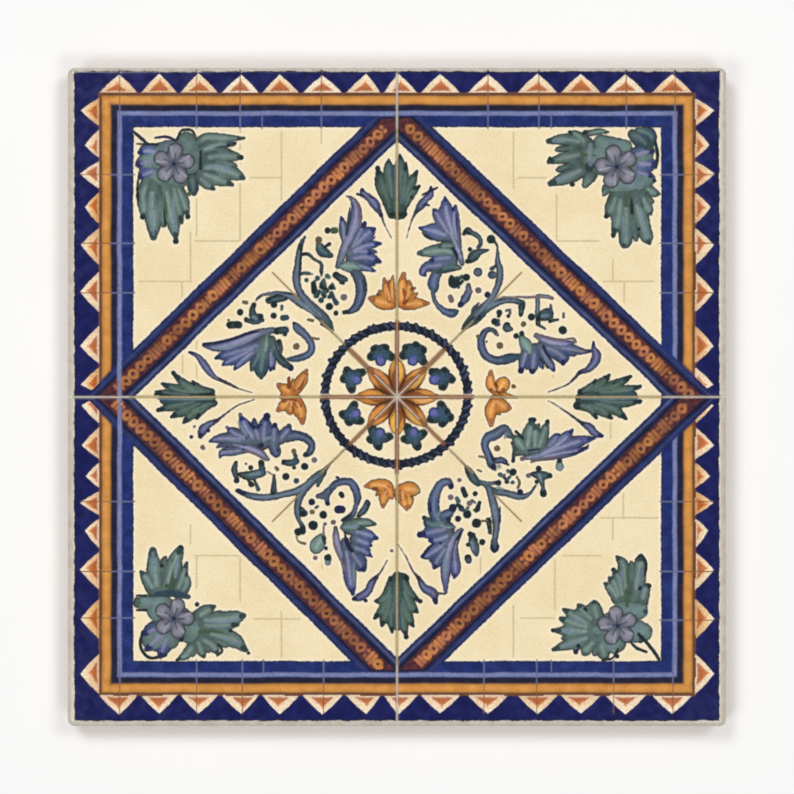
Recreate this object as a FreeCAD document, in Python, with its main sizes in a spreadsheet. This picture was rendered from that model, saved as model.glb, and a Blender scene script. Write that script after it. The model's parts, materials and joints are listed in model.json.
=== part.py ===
"""Azulejo tile: one square of fired and glazed earthenware, laid face up.

The tile is a pressed square slab. Its face has a rounded arris, where the glaze runs over the edge, and a
scored cross that divides the face into four quarters, so that one tile reads as four small ones once it is
grouted. Its foot is bevelled, and its back has a grid of shallow drafted cells, the keys that the bedding
mortar grips, inside a flat rim. The rim and the ribs between the cells lie in one plane, on which it rests.

Millimetres, +Z up. The origin is the middle of the back, in the plane of the rim and ribs.
"""

import FreeCAD
import Part
import Sketcher
import math
import os

FREEBOARD = 1.0  # how far the cutter of a scored line stands above the face
PLANAR = 1e-4  # an edge whose ends differ by less than this in height lies level

DRIVING_SIZES = {
    "tile_side": 150.0,  # edge length of the square
    "tile_thickness": 8.0,  # from the rim of the back to the face
    "corner_radius": 1.6,  # plan radius of the four corners
    "arris_radius": 1.2,  # rounding of the face's edge
    "foot_chamfer": 0.7,  # bevel round the back
    "score_width": 0.9,  # width of the scored cross at the face
    "score_depth": 0.4,  # depth of the scored cross
    "key_rim": 7.0,  # flat rim round the cells of the back
    "key_rib": 2.4,  # rib between two cells, at the back's plane
    "key_count": 7,  # cells along each side
    "key_depth": 0.5,  # depth of a cell
    "key_draft": 30.0,  # slope of a cell's walls, in degrees from upright
    "key_corner": 1.5,  # plan radius of a cell's corners
}

KEY_PITCH = "((sizes.tile_side - 2 * sizes.key_rim + sizes.key_rib) / sizes.key_count)"
KEY_CELL = f"({KEY_PITCH} - sizes.key_rib)"
FIRST_KEY = f"(sizes.tile_side / 2 - sizes.key_rim - {KEY_CELL} / 2)"
KEY_SPAN = f"({KEY_PITCH} * (sizes.key_count - 1))"
SCORE_RADIUS = "((sizes.score_width ^ 2 / 4 + sizes.score_depth ^ 2) / (2 * sizes.score_depth))"


def make_sheet(doc):
    """The spreadsheet of driving sizes, one named cell each."""
    sheet = doc.addObject("Spreadsheet::Sheet", "sizes")
    for row, (name, value) in enumerate(DRIVING_SIZES.items(), start=1):
        sheet.set(f"A{row}", name)
        sheet.set(f"B{row}", str(value))
        sheet.setAlias(f"B{row}", name)
    doc.recompute()
    return sheet


def origin_plane(body, role):
    """One of the body's own origin planes, such as XY_Plane."""
    return next(item for item in body.Origin.OriginFeatures if item.Role == role)


def new_sketch(body, name, role):
    """A sketch on one of the body's origin planes."""
    sketch = body.newObject("Sketcher::SketchObject", name)
    sketch.AttachmentSupport = [(origin_plane(body, role), "")]
    sketch.MapMode = "FlatFace"
    return sketch


def bind(sketch, name, constraint, expression):
    """Adds a dimension to the sketch, names it and ties it to the sheet."""
    index = sketch.addConstraint(constraint)
    sketch.renameConstraint(index, name)
    sketch.setExpression(f"Constraints.{name}", expression)


def draw_rounded_square(sketch, middle, side, radius, side_size, radius_size):
    """A square with round corners about a middle point. Returns the index of that point."""
    half, inner = side / 2, side / 2 - radius
    ends = [
        ((-inner, -half), (inner, -half)),
        ((half, -inner), (half, inner)),
        ((inner, half), (-inner, half)),
        ((-half, inner), (-half, -inner)),
    ]
    corners = [(inner, -inner, 270), (inner, inner, 0), (-inner, inner, 90), (-inner, -inner, 180)]
    place = FreeCAD.Vector(middle, middle, 0)
    lines, arcs = [], []
    for start, end in ends:
        segment = Part.LineSegment(place + FreeCAD.Vector(*start, 0), place + FreeCAD.Vector(*end, 0))
        lines.append(sketch.addGeometry(segment))
    for x, y, turn in corners:
        circle = Part.Circle(place + FreeCAD.Vector(x, y, 0), FreeCAD.Vector(0, 0, 1), radius)
        quarter = Part.ArcOfCircle(circle, math.radians(turn), math.radians(turn + 90))
        arcs.append(sketch.addGeometry(quarter))
    point = sketch.addGeometry(Part.Point(place))
    sketch.setConstruction(point, True)
    for index in range(4):
        following = lines[(index + 1) % 4]
        direction = "Horizontal" if index % 2 == 0 else "Vertical"
        sketch.addConstraint(Sketcher.Constraint("Tangent", lines[index], 2, arcs[index], 1))
        sketch.addConstraint(Sketcher.Constraint("Tangent", arcs[index], 2, following, 1))
        sketch.addConstraint(Sketcher.Constraint(direction, lines[index]))
    for other in arcs[1:]:
        sketch.addConstraint(Sketcher.Constraint("Equal", arcs[0], other))
    sketch.addConstraint(Sketcher.Constraint("Symmetric", lines[0], 1, lines[2], 1, point, 1))
    bind(sketch, "radius", Sketcher.Constraint("Radius", arcs[0], radius), radius_size)
    bind(sketch, "width", Sketcher.Constraint("DistanceX", lines[3], 1, lines[1], 1, side), side_size)
    bind(sketch, "height", Sketcher.Constraint("DistanceY", lines[0], 1, lines[2], 1, side), side_size)
    return point


def edges_at_height(shape, height):
    """Names of the edges that lie in the level plane at this height."""
    return [
        f"Edge{number}"
        for number, edge in enumerate(shape.Edges, start=1)
        if abs(edge.BoundBox.ZMin - height) < PLANAR and abs(edge.BoundBox.ZMax - height) < PLANAR
    ]


def make_slab(doc, body, sheet):
    """The pressed slab: a padded square with round corners, a rounded arris and a bevelled foot."""
    sketch = new_sketch(body, "slab_outline", "XY_Plane")
    middle = draw_rounded_square(
        sketch, 0.0, sheet.tile_side, sheet.corner_radius, "sizes.tile_side", "sizes.corner_radius"
    )
    sketch.addConstraint(Sketcher.Constraint("Coincident", middle, 1, -1, 1))
    slab = body.newObject("PartDesign::Pad", "slab")
    slab.Profile = sketch
    slab.setExpression("Length", "sizes.tile_thickness")
    doc.recompute()

    arris = body.newObject("PartDesign::Fillet", "arris")
    arris.Base = (slab, edges_at_height(slab.Shape, sheet.tile_thickness))
    arris.setExpression("Radius", "sizes.arris_radius")
    doc.recompute()

    foot = body.newObject("PartDesign::Chamfer", "foot_bevel")
    foot.Base = (arris, edges_at_height(arris.Shape, 0.0))
    foot.setExpression("Size", "sizes.foot_chamfer")
    doc.recompute()


def make_scored_line(doc, body, sheet, name, role):
    """A round-bottomed line pressed right across the face, square to the given origin plane."""
    sketch = new_sketch(body, f"{name}_profile", role)
    half, face = sheet.score_width / 2, sheet.tile_thickness
    radius = (half**2 + sheet.score_depth**2) / (2 * sheet.score_depth)
    top = face + FREEBOARD
    left, right = FreeCAD.Vector(-half, face, 0), FreeCAD.Vector(half, face, 0)
    bottom = FreeCAD.Vector(0, face - sheet.score_depth, 0)
    left_top, right_top = FreeCAD.Vector(-half, top, 0), FreeCAD.Vector(half, top, 0)
    arc = sketch.addGeometry(Part.Arc(left, bottom, right))
    right_side = sketch.addGeometry(Part.LineSegment(right, right_top))
    lid = sketch.addGeometry(Part.LineSegment(right_top, left_top))
    left_side = sketch.addGeometry(Part.LineSegment(left_top, left))
    sketch.addConstraint(Sketcher.Constraint("Coincident", arc, 1, left_side, 2))
    sketch.addConstraint(Sketcher.Constraint("Coincident", arc, 2, right_side, 1))
    sketch.addConstraint(Sketcher.Constraint("Coincident", right_side, 2, lid, 1))
    sketch.addConstraint(Sketcher.Constraint("Coincident", lid, 2, left_side, 1))
    sketch.addConstraint(Sketcher.Constraint("Vertical", right_side))
    sketch.addConstraint(Sketcher.Constraint("Vertical", left_side))
    sketch.addConstraint(Sketcher.Constraint("Symmetric", left_side, 1, right_side, 2, -2))
    bind(sketch, "width", Sketcher.Constraint("DistanceX", lid, 2, lid, 1, 2 * half), "sizes.score_width")
    bind(sketch, "radius", Sketcher.Constraint("Radius", arc, radius), SCORE_RADIUS)
    bind(sketch, "face", Sketcher.Constraint("DistanceY", -1, 1, arc, 1, face), "sizes.tile_thickness")
    sketch.addConstraint(Sketcher.Constraint("Horizontal", arc, 1, arc, 2))
    sketch.addConstraint(Sketcher.Constraint("DistanceY", right_side, 1, right_side, 2, FREEBOARD))
    line = body.newObject("PartDesign::Pocket", name)
    line.Profile = sketch
    line.Type = "ThroughAll"
    line.Midplane = True
    doc.recompute()


def make_keys(doc, body, sheet):
    """The grid of drafted cells in the back: one pocket, repeated along both sides."""
    pitch = (sheet.tile_side - 2 * sheet.key_rim + sheet.key_rib) / sheet.key_count
    cell = pitch - sheet.key_rib
    first = sheet.tile_side / 2 - sheet.key_rim - cell / 2
    sketch = new_sketch(body, "key_outline", "XY_Plane")
    middle = draw_rounded_square(sketch, first, cell, sheet.key_corner, KEY_CELL, "sizes.key_corner")
    bind(sketch, "across", Sketcher.Constraint("DistanceX", -1, 1, middle, 1, first), FIRST_KEY)
    bind(sketch, "along", Sketcher.Constraint("DistanceY", -1, 1, middle, 1, first), FIRST_KEY)
    key = body.newObject("PartDesign::Pocket", "key")
    key.Profile = sketch
    key.Type = "Length"
    key.Reversed = True
    key.setExpression("Length", "sizes.key_depth")
    key.setExpression("TaperAngle", "-sizes.key_draft")
    doc.recompute()

    grid = body.newObject("PartDesign::MultiTransform", "key_grid")
    rows = []
    for name, axis in (("key_row", "H_Axis"), ("key_column", "V_Axis")):
        row = body.newObject("PartDesign::LinearPattern", name)
        row.Direction = (sketch, [axis])
        row.Reversed = True
        row.setExpression("Length", KEY_SPAN)
        row.setExpression("Occurrences", "sizes.key_count")
        rows.append(row)
    grid.Originals = [key]
    grid.Transformations = rows
    body.Tip = grid
    doc.recompute()


def make_tile(doc, sheet):
    """The tile, made as one body."""
    body = doc.addObject("PartDesign::Body", "azulejo_tile")
    body.Label = "azulejo_tile"
    doc.recompute()
    make_slab(doc, body, sheet)
    make_scored_line(doc, body, sheet, "score_along_depth", "XZ_Plane")
    make_scored_line(doc, body, sheet, "score_along_width", "YZ_Plane")
    make_keys(doc, body, sheet)
    return body


def check(doc, pieces):
    """Stops if a feature failed or a piece isn't one sound solid."""
    for item in doc.Objects:
        if "Invalid" in item.State or "Error" in item.State:
            raise RuntimeError(f"{item.Name} failed: {item.State}")
    for piece in pieces:
        shape = piece.Shape
        if shape.isNull() or not shape.isValid() or len(shape.Solids) != 1:
            raise RuntimeError(f"{piece.Label} isn't one sound solid")


def main():
    doc = FreeCAD.newDocument("azulejo")
    sheet = make_sheet(doc)
    pieces = [make_tile(doc, sheet)]
    doc.recompute()
    check(doc, pieces)
    os.makedirs("parts", exist_ok=True)
    for piece in pieces:
        piece.Shape.exportStep(f"parts/{piece.Label}.step")
        box = piece.Shape.BoundBox
        print(f"{piece.Label}: {piece.Shape.Volume:.1f} mm3, {len(piece.Shape.Faces)} faces")
        print(f"x {box.XMin:.3f} {box.XMax:.3f}  y {box.YMin:.3f} {box.YMax:.3f}  z {box.ZMin:.3f} {box.ZMax:.3f}")


main()
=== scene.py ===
"""The looks of the azulejo tile: its painted and glazed face over the fired clay body.

The face is painted in coats, as on a tin glaze: washes, bodies of colour, dark strokes, light strokes and
fine scored lines. A coat is kept on the points of the glaze's mesh as the distance to its nearest brush mark
and that mark's colour, and the glaze's material turns the distance into a sharp, slightly uneven edge. The
pattern's lengths are in millimetres from the middle of the tile, +X right and +Y up.
"""

import json
import math

import bpy
import numpy as np
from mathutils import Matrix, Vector

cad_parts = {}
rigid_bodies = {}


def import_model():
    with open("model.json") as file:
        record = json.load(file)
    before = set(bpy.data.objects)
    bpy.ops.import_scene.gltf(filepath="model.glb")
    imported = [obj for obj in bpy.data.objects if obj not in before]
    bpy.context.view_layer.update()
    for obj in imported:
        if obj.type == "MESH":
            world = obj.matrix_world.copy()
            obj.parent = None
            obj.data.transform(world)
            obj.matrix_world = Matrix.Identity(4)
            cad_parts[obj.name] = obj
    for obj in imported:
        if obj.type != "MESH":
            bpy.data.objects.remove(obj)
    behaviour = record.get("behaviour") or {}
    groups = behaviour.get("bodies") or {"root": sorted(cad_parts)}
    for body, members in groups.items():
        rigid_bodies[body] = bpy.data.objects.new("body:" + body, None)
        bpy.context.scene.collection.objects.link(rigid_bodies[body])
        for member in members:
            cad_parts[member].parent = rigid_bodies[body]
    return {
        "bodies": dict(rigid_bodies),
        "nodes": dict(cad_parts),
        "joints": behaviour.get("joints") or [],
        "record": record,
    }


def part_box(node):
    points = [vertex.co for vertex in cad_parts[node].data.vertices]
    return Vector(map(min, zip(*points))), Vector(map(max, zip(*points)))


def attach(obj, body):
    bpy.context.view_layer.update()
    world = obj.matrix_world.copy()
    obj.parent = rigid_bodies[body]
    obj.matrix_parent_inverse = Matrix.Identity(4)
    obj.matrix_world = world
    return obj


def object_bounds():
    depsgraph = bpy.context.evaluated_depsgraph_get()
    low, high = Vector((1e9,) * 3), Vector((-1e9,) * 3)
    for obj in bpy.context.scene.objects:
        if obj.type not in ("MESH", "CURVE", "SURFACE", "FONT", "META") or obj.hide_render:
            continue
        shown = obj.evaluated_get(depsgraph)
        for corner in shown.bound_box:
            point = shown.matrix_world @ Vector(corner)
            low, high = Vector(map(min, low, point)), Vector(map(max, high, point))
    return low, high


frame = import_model()
cad_low, cad_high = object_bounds()

FAR = 50.0  # a distance that means "no brush mark near here"
REACH = 1.6  # how far outside a mark its distance is still worked out
THINNEST = 0.04  # half width of the finest stroke
COATS = ("wash", "body", "dark", "light", "scratch")  # in the order in which they lie on each other
WHOLE = (slice(None), slice(None))  # the whole lattice


def tone(red, green, blue):
    """A colour written as sRGB values from 0 to 255, in linear light."""
    share = np.array([red, green, blue]) / 255.0
    return np.where(share <= 0.04045, share / 12.92, ((share + 0.055) / 1.055) ** 2.4)


CREAM = tone(240, 222, 182)
RIM = tone(203, 197, 186)
NAVY = tone(10, 18, 92)
INNER_NAVY = tone(20, 40, 104)
INK = tone(20, 26, 62)
DARK_LINE = tone(24, 18, 42)
PERIWINKLE = tone(126, 134, 176)
OCHRE = tone(202, 138, 65)
PALE_OCHRE = tone(236, 180, 110)
BROWN = tone(112, 66, 32)
CREAM_TOOTH = tone(252, 240, 214)
RUST = tone(188, 98, 44)
MAROON = tone(92, 40, 44)
DEEP_MAROON = tone(52, 22, 36)
TERRA = tone(196, 124, 84)
LEAF = tone(112, 138, 132)
PALE_LEAF = tone(140, 160, 152)
DEEP_LEAF = tone(58, 84, 82)
MOSS = tone(64, 86, 60)
BLACK_GREEN = tone(18, 36, 38)
TEAL = tone(54, 80, 96)
SLATE = tone(98, 112, 130)
LAVENDER = tone(152, 152, 184)
VIOLET = tone(104, 104, 160)
BLUE = tone(70, 88, 156)
DEEP_BLUE = tone(34, 46, 104)
ORANGE = tone(220, 146, 66)
PALE_ORANGE = tone(232, 172, 108)
OLIVE_GOLD = tone(206, 170, 96)
SIENNA = tone(148, 78, 40)
LILAC_GREY = tone(150, 150, 166)
HAIR = tone(206, 188, 146)
HAIR_ON_NAVY = tone(104, 108, 142)
JOINT_LINE = tone(166, 150, 108)
PALE_LINE = tone(196, 180, 166)
OLIVE_GREY = tone(128, 116, 88)
OLIVE_DARK = tone(104, 88, 60)
MAUVE_GREY = tone(128, 110, 116)
DUSK = tone(58, 52, 78)


def curve(points, steps=6, closed=False):
    """A smooth line (Catmull-Rom) through points, whose every column, such as a width, is smoothed alike."""
    knots = np.array(points, float)
    if closed:
        knots = np.vstack([knots[-1:], knots, knots[:2]])
    else:
        knots = np.vstack([2 * knots[:1] - knots[1:2], knots, 2 * knots[-1:] - knots[-2:-1]])
    share = np.linspace(0, 1, steps, endpoint=False)[:, None]
    runs = []
    for before, start, end, after in zip(knots[:-3], knots[1:-2], knots[2:-1], knots[3:]):
        bend = 2 * before - 5 * start + 4 * end - after
        twist = 3 * (start - end) + after - before
        runs.append(0.5 * (2 * start + (end - before) * share + bend * share**2 + twist * share**3))
    if not closed:
        runs.append(knots[-2:-1])
    return np.vstack(runs)


def blend(tones, progress):
    """The colour at each share of the way through a row of tones."""
    stops = np.linspace(0, 1, len(tones))
    return np.stack([np.interp(progress, stops, channel) for channel in zip(*tones)], axis=-1)


class Painting:
    """Coats of paint on a lattice: each holds the distance to its nearest brush mark, and its colour."""

    def __init__(self, across, along):
        self.across, self.along = across, along
        size = (len(along), len(across))
        self.distance = {coat: np.full(size, FAR) for coat in COATS}
        self.colour = {coat: np.zeros(size + (3,)) for coat in COATS}

    def window(self, low, high):
        """The part of the lattice near a mark: its slices and its points."""
        columns = slice(*np.searchsorted(self.across, (low[0] - REACH, high[0] + REACH)))
        rows = slice(*np.searchsorted(self.along, (low[1] - REACH, high[1] + REACH)))
        x, y = np.meshgrid(self.across[columns], self.along[rows])
        return (rows, columns), x, y

    def lay(self, coat, part, gap, colour):
        """Adds a mark to a coat: where it is nearer than what is there, it gives the distance and colour."""
        distance, colours = self.distance[coat][part], self.colour[coat][part]
        nearer = gap < distance
        distance[nearer] = gap[nearer]
        colours[nearer] = colour[nearer]

    def clear(self, coat, part, gap):
        """Takes a coat away where gap is negative."""
        distance = self.distance[coat][part]
        np.maximum(distance, -gap, out=distance)

    def brush(self, coat, points, *tones, steps=6, edge=0.0):
        """A stroke through (x, y, half width) points, whose colour runs through the tones along it. Edge is
        the share by which its rims are darker, as where pigment gathers."""
        path = curve(points, steps) if len(points) > 1 else np.array(points * 2, float)
        path[:, 2] = np.maximum(path[:, 2], THINNEST)
        spots, halves = path[:, :2], path[:, 2:]
        part, x, y = self.window((spots - halves).min(axis=0), (spots + halves).max(axis=0))
        if not x.size:
            return
        gap, progress, reach = np.full(x.shape, FAR), np.zeros(x.shape), np.ones(x.shape)
        for number, (start, end) in enumerate(zip(path[:-1], path[1:])):
            run = end - start
            length = max(run[0] ** 2 + run[1] ** 2, 1e-9)
            share = np.clip(((x - start[0]) * run[0] + (y - start[1]) * run[1]) / length, 0, 1)
            width = start[2] + share * run[2]
            here = np.hypot(x - start[0] - share * run[0], y - start[1] - share * run[1]) - width
            nearer = here < gap
            gap = np.where(nearer, here, gap)
            progress = np.where(nearer, (number + share) / (len(path) - 1), progress)
            reach = np.where(nearer, width, reach)
        colour = blend(tones, progress)
        if edge:
            rim = np.clip(1 + gap / np.maximum(reach, 0.05), 0, 1) ** 2
            colour = colour * (1 - edge * rim)[..., None]
        self.lay(coat, part, gap, colour)

    def fill(self, coat, outline, tones, start=None, end=None, steps=5, edge=0.0, smooth=True):
        """A closed area whose colour runs through the tones from start to end."""
        ring = curve(outline, steps, closed=True) if smooth else np.array(outline, float)
        part, x, y = self.window(ring.min(axis=0), ring.max(axis=0))
        if not x.size:
            return
        gap, inside = np.full(x.shape, FAR), np.zeros(x.shape, bool)
        for (ax, ay), (bx, by) in zip(ring, np.roll(ring, -1, axis=0)):
            length = max((bx - ax) ** 2 + (by - ay) ** 2, 1e-9)
            share = np.clip(((x - ax) * (bx - ax) + (y - ay) * (by - ay)) / length, 0, 1)
            gap = np.minimum(gap, np.hypot(x - ax - share * (bx - ax), y - ay - share * (by - ay)))
            if ay != by:
                crosses = (ay > y) != (by > y)
                inside ^= crosses & (x < ax + (y - ay) * (bx - ax) / (by - ay))
        gap = np.where(inside, -gap, gap)
        if start is None:
            progress = np.zeros(x.shape)
        else:
            run = np.array(end) - start
            progress = np.clip(((x - start[0]) * run[0] + (y - start[1]) * run[1]) / (run @ run), 0, 1)
        colour = blend(tones, progress)
        if edge:
            colour = colour * (1 - edge * np.exp(gap / 0.35))[..., None]
        self.lay(coat, part, gap, colour)


# Places along the border, as distances from the middle of the tile to each side's own bands.
SIDE_SHIFT = {"left": 0.7, "right": 0.6, "top": -0.7, "bottom": 0.6}
PAINT_EDGE = {"left": 73.5, "right": 73.4, "top": 74.1, "bottom": 73.7}
FRAME = {
    "inner": (60.65, 63.35), "pale": (63.35, 64.3), "dark": (64.5, 65.6),
    "ochre": (65.6, 68.1), "brown": (68.1, 68.6),
}

# The teeth: their feet and tips, as far out as the bands, and their places along the sides.
TOOTH_BASE, TOOTH_TIP, SHORT_TIP = 68.6, 72.7, 71.6
LEVEL_TEETH = (-63.2, -54.1, -45.2, -35.4, -26.7, -17.0, -7.0, 0.3, 9.8, 20.7, 32.0, 41.8, 52.0, 62.6)
UPRIGHT_TEETH = (
    -63.0, -50.5, -39.3, -30.4, -24.1, -18.0, -11.0, -1.9,
    2.8, 11.6, 23.9, 34.6, 43.2, 50.8, 57.3, 65.2,
)
SHORT_TEETH = (-30.4, -18.0, 43.2, 57.3)
TEETH_END = 68.4
WIDEST_HALF, TOOTH_GAP = 5.0, 0.35  # half of the widest tooth, and what lies free at either of its feet
DAB_TONES = (tone(150, 66, 10), tone(180, 84, 12), tone(206, 118, 40))
# The diamond: the corners of its bands' middle lines, and its bands by their distance outwards from them.
DIAMOND = {"left": (-65.8, 0.0), "top": (0.0, 64.2), "right": (67.6, -0.3), "bottom": (0.0, -65.4)}
BAND = {
    "navy": (-4.3, 3.7), "ink": (-2.7, 2.2), "maroon": (-1.95, 1.6),
    "inner_stripe": (-3.65, -3.05), "outer_stripe": (2.6, 3.15),
}
STRIPE_BLUE = tone(74, 82, 138)
SIDE_TIP = 72.6  # where the bands end at the left and right corners
LEFT_LIGHT_END = 67.0  # the border's light strokes run over the left corner up to here
MARKS_END = (68.0, 61.4)
MARKS = {  # share of the marks, half length
    "bead": (0.2, 0.9), "lozenge": (0.36, 1.0), "reel": (0.3, 0.75), "dots": (0.14, 0.45),
}
MARK_START, MARK_STOP, MARK_GAP = 2.6, 2.4, 0.35  # along a band, from its corners and between two marks
MARK_SHIFT = 0.17  # inwards from the line between the corners

RING = {"middle": (-0.15, 0.45), "across": 16.2, "along": 15.65, "half": 1.1}
ROPE_DABS, ROPE_LEAN = 56, 0.07  # the rope's dabs, and the turn that each one leans by, in radians

# Ticks over the border, by their places along each side, and how far out they run.
TICK_START, TICK_END, SHORT_TICK_END = 60.4, 73.7, 63.6
OCHRE_TICK_START = 65.9
TICKS = {
    "top": (-63.1, -45.6, -35.7, -17.2, 20.7, 32.3, 52.2, 63.3),
    "bottom": (-63.1, -45.6, -35.2, -16.7, 19.8, 31.8, 49.3, 62.8),
    "left": (50.6, 35.0, 23.7, -23.8, -39.7, -50.3),
    "right": (50.6, 35.0, 23.7, -23.8, -39.7, -50.8),
}
SHORT_TICKS = {"top": (-30.7, 35.1), "bottom": (-30.4, 35.1), "left": (), "right": ()}
FIELD_LINES = (
    ((-45.6, 36.6), (-45.6, 47.5)), ((-35.7, 61), (-35.7, 30.5)), ((-26.3, 60.3), (-26.3, 39.5)),
    ((-17.2, 61), (-17.2, 57.7)), ((-47.0, 37.5), (-47.0, 26.3)), ((-48.9, 26.3), (-48.9, 16.5)),
    ((-33.5, 49.9), (-26.6, 49.9)), ((-46.0, 35.5), (-35.5, 35.5)), ((-58.6, 26.3), (-46.8, 26.3)),
    ((26.5, 60.3), (26.5, 47.5)), ((36.3, 46.1), (36.3, 35.5)), ((49.1, 31.2), (49.1, 26.3)),
    ((51.7, 25.9), (51.7, 21.5)), ((27.7, 49.9), (33.9, 49.9)), ((36.3, 35.5), (46.0, 35.5)),
    ((46.9, 26.3), (58.5, 26.3)), ((-47.0, -29.1), (-47.0, -33.5)), ((-45.6, -36.1), (-45.6, -43.5)),
    ((-35.7, -36.1), (-35.7, -46.4)), ((-26.3, -48.8), (-26.3, -60.4)), ((-46, -36.1), (-35.4, -36.1)),
    ((-32.6, -50.5), (-22.2, -50.5)), ((26.5, -47.4), (26.5, -60)), ((35.9, -36.8), (35.9, -48.4)),
    ((49.1, -27.7), (49.1, -32.5)), ((51.5, -22), (51.5, -27.2)), ((46.4, -27.5), (59.4, -27.5)),
    ((37.8, -36.1), (46.4, -36.1)), ((28.2, -50.3), (35.9, -50.3)), ((-45.6, 13.0), (-45.6, 2.0)),
    ((-48.8, 4.0), (-48.8, 10.0)), ((-14.0, 47.0), (-10.5, 47.0)), ((48.6, -4.0), (48.6, -9.5)),
    ((35.5, 4.5), (35.5, 9.0)), ((19.0, -36.5), (19.0, -41.0)), ((-17.0, -34.5), (-17.0, -39.0)),
)
# Straight lines out of the middle: start, end, colour, half width and coat.
BROAD_DIAGONAL = (1.0, 10.6, tone(128, 84, 50))
UPPER_HALF, LOWER_HALF = 0.62, 0.5
DIAGONAL_LINES = (
    (11.9, 17.0, OLIVE_GREY, 0.26, "light"),
    (0.6, 5.0, PALE_LINE, 0.2, "scratch"),
    (14.6, 17.3, tone(150, 124, 84), 0.24, "scratch"),
    (22.3, 28.3, tone(150, 124, 84), 0.24, "scratch"),
)
CROSS_LINES = (
    (1.0, 17.2, tone(126, 78, 52), 0.52, "light"),
    (0.4, 7.0, PALE_LINE, 0.22, "scratch"),
    (7.0, 17.2, tone(172, 138, 112), 0.2, "scratch"),
    (17.2, 61.0, JOINT_LINE, 0.3, "scratch"),
    (61.0, 73.6, tone(186, 176, 164), 0.3, "scratch"),
)


def wave(x, y, size, seed):
    """A smooth uneven field between about -1 and 1, whose bumps are about size wide."""
    random = np.random.default_rng(seed)
    total = 0.0
    for octave in (1.0, 1.7, 2.9):
        angle, phase = random.uniform(0, math.pi), random.uniform(0, 2 * math.pi, 2)
        u = x * math.cos(angle) + y * math.sin(angle)
        v = y * math.cos(angle) - x * math.sin(angle)
        total = total + np.sin(2 * math.pi * u * octave / size + phase[0]) * np.sin(
            2 * math.pi * v * octave / size + phase[1]) / octave
    return total * 0.7


def on_side(side, along, out):
    """The point at a place along a side, at a distance from the middle that its bands use."""
    out = out - SIDE_SHIFT[side]
    return {"top": (along, out), "bottom": (along, -out), "left": (-out, along), "right": (out, along)}[side]


def outwards(x, y):
    """How far out points lie towards each side."""
    return {"left": -x, "right": x, "top": y, "bottom": -y}


def frame_gap(x, y):
    """Distance from the middle towards the nearest side, in the measure that the bands of the border use."""
    sides = [out + SIDE_SHIFT[side] for side, out in outwards(x, y).items()]
    return np.maximum.reduce(sides) + 0.09 * wave(x, y, 21.0, 3)


def paint_end(x, y):
    """Distance outwards from the line where the paint stops, short of the tile's rim."""
    gaps = [out - PAINT_EDGE[side] for side, out in outwards(x, y).items()]
    return np.maximum.reduce(gaps) + 0.15 * wave(x, y, 9.0, 5)


def diamond_gap(x, y):
    """Distance outwards from the middle line of the diamond's four bands."""
    corners = list(DIAMOND.values())
    gaps = []
    for (ax, ay), (bx, by) in zip(corners, corners[1:] + corners[:1]):
        length = math.hypot(bx - ax, by - ay)
        gaps.append(((x - ax) * (ay - by) + (y - ay) * (bx - ax)) / length)
    return np.maximum.reduce(gaps) + 0.12 * wave(x, y, 26.0, 8)


def band(low, high, gap):
    """Distance to a band that lies between two distances, negative within it."""
    return np.maximum(low - gap, gap - high)


def even(shape, colour):
    """The same colour at every point."""
    return np.broadcast_to(colour, shape + (3,))


def border(painting):
    """The bands round the tile: navy, a pale line, a dark line, ochre, a brown line, and navy again."""
    x, y = np.meshgrid(painting.across, painting.along)
    frame, end = frame_gap(x, y), paint_end(x, y)
    streak = 1 + 0.16 * wave(x, y, 5.0, 6) + 0.1 * wave(x, y, 1.7, 7)
    navy = np.where((frame > FRAME["brown"][0])[..., None], NAVY * 0.8, INNER_NAVY) * streak[..., None]
    shine = 1.18 - 0.3 * abs(frame - sum(FRAME["ochre"]) / 2) + 0.09 * wave(x, y, 7.0, 9)
    glow = 1 + 0.12 * wave(x, y, 8.0, 4)
    painting.lay("wash", WHOLE, np.maximum(FRAME["inner"][0] - frame, end), navy)
    painting.lay("body", WHOLE, band(*FRAME["ochre"], frame), OCHRE * shine[..., None])
    painting.lay("dark", WHOLE, band(*FRAME["dark"], frame), even(x.shape, DARK_LINE))
    painting.lay("light", WHOLE, band(*FRAME["pale"], frame), PERIWINKLE * glow[..., None])
    painting.lay("dark", WHOLE, band(*FRAME["brown"], frame), even(x.shape, BROWN))


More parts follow.
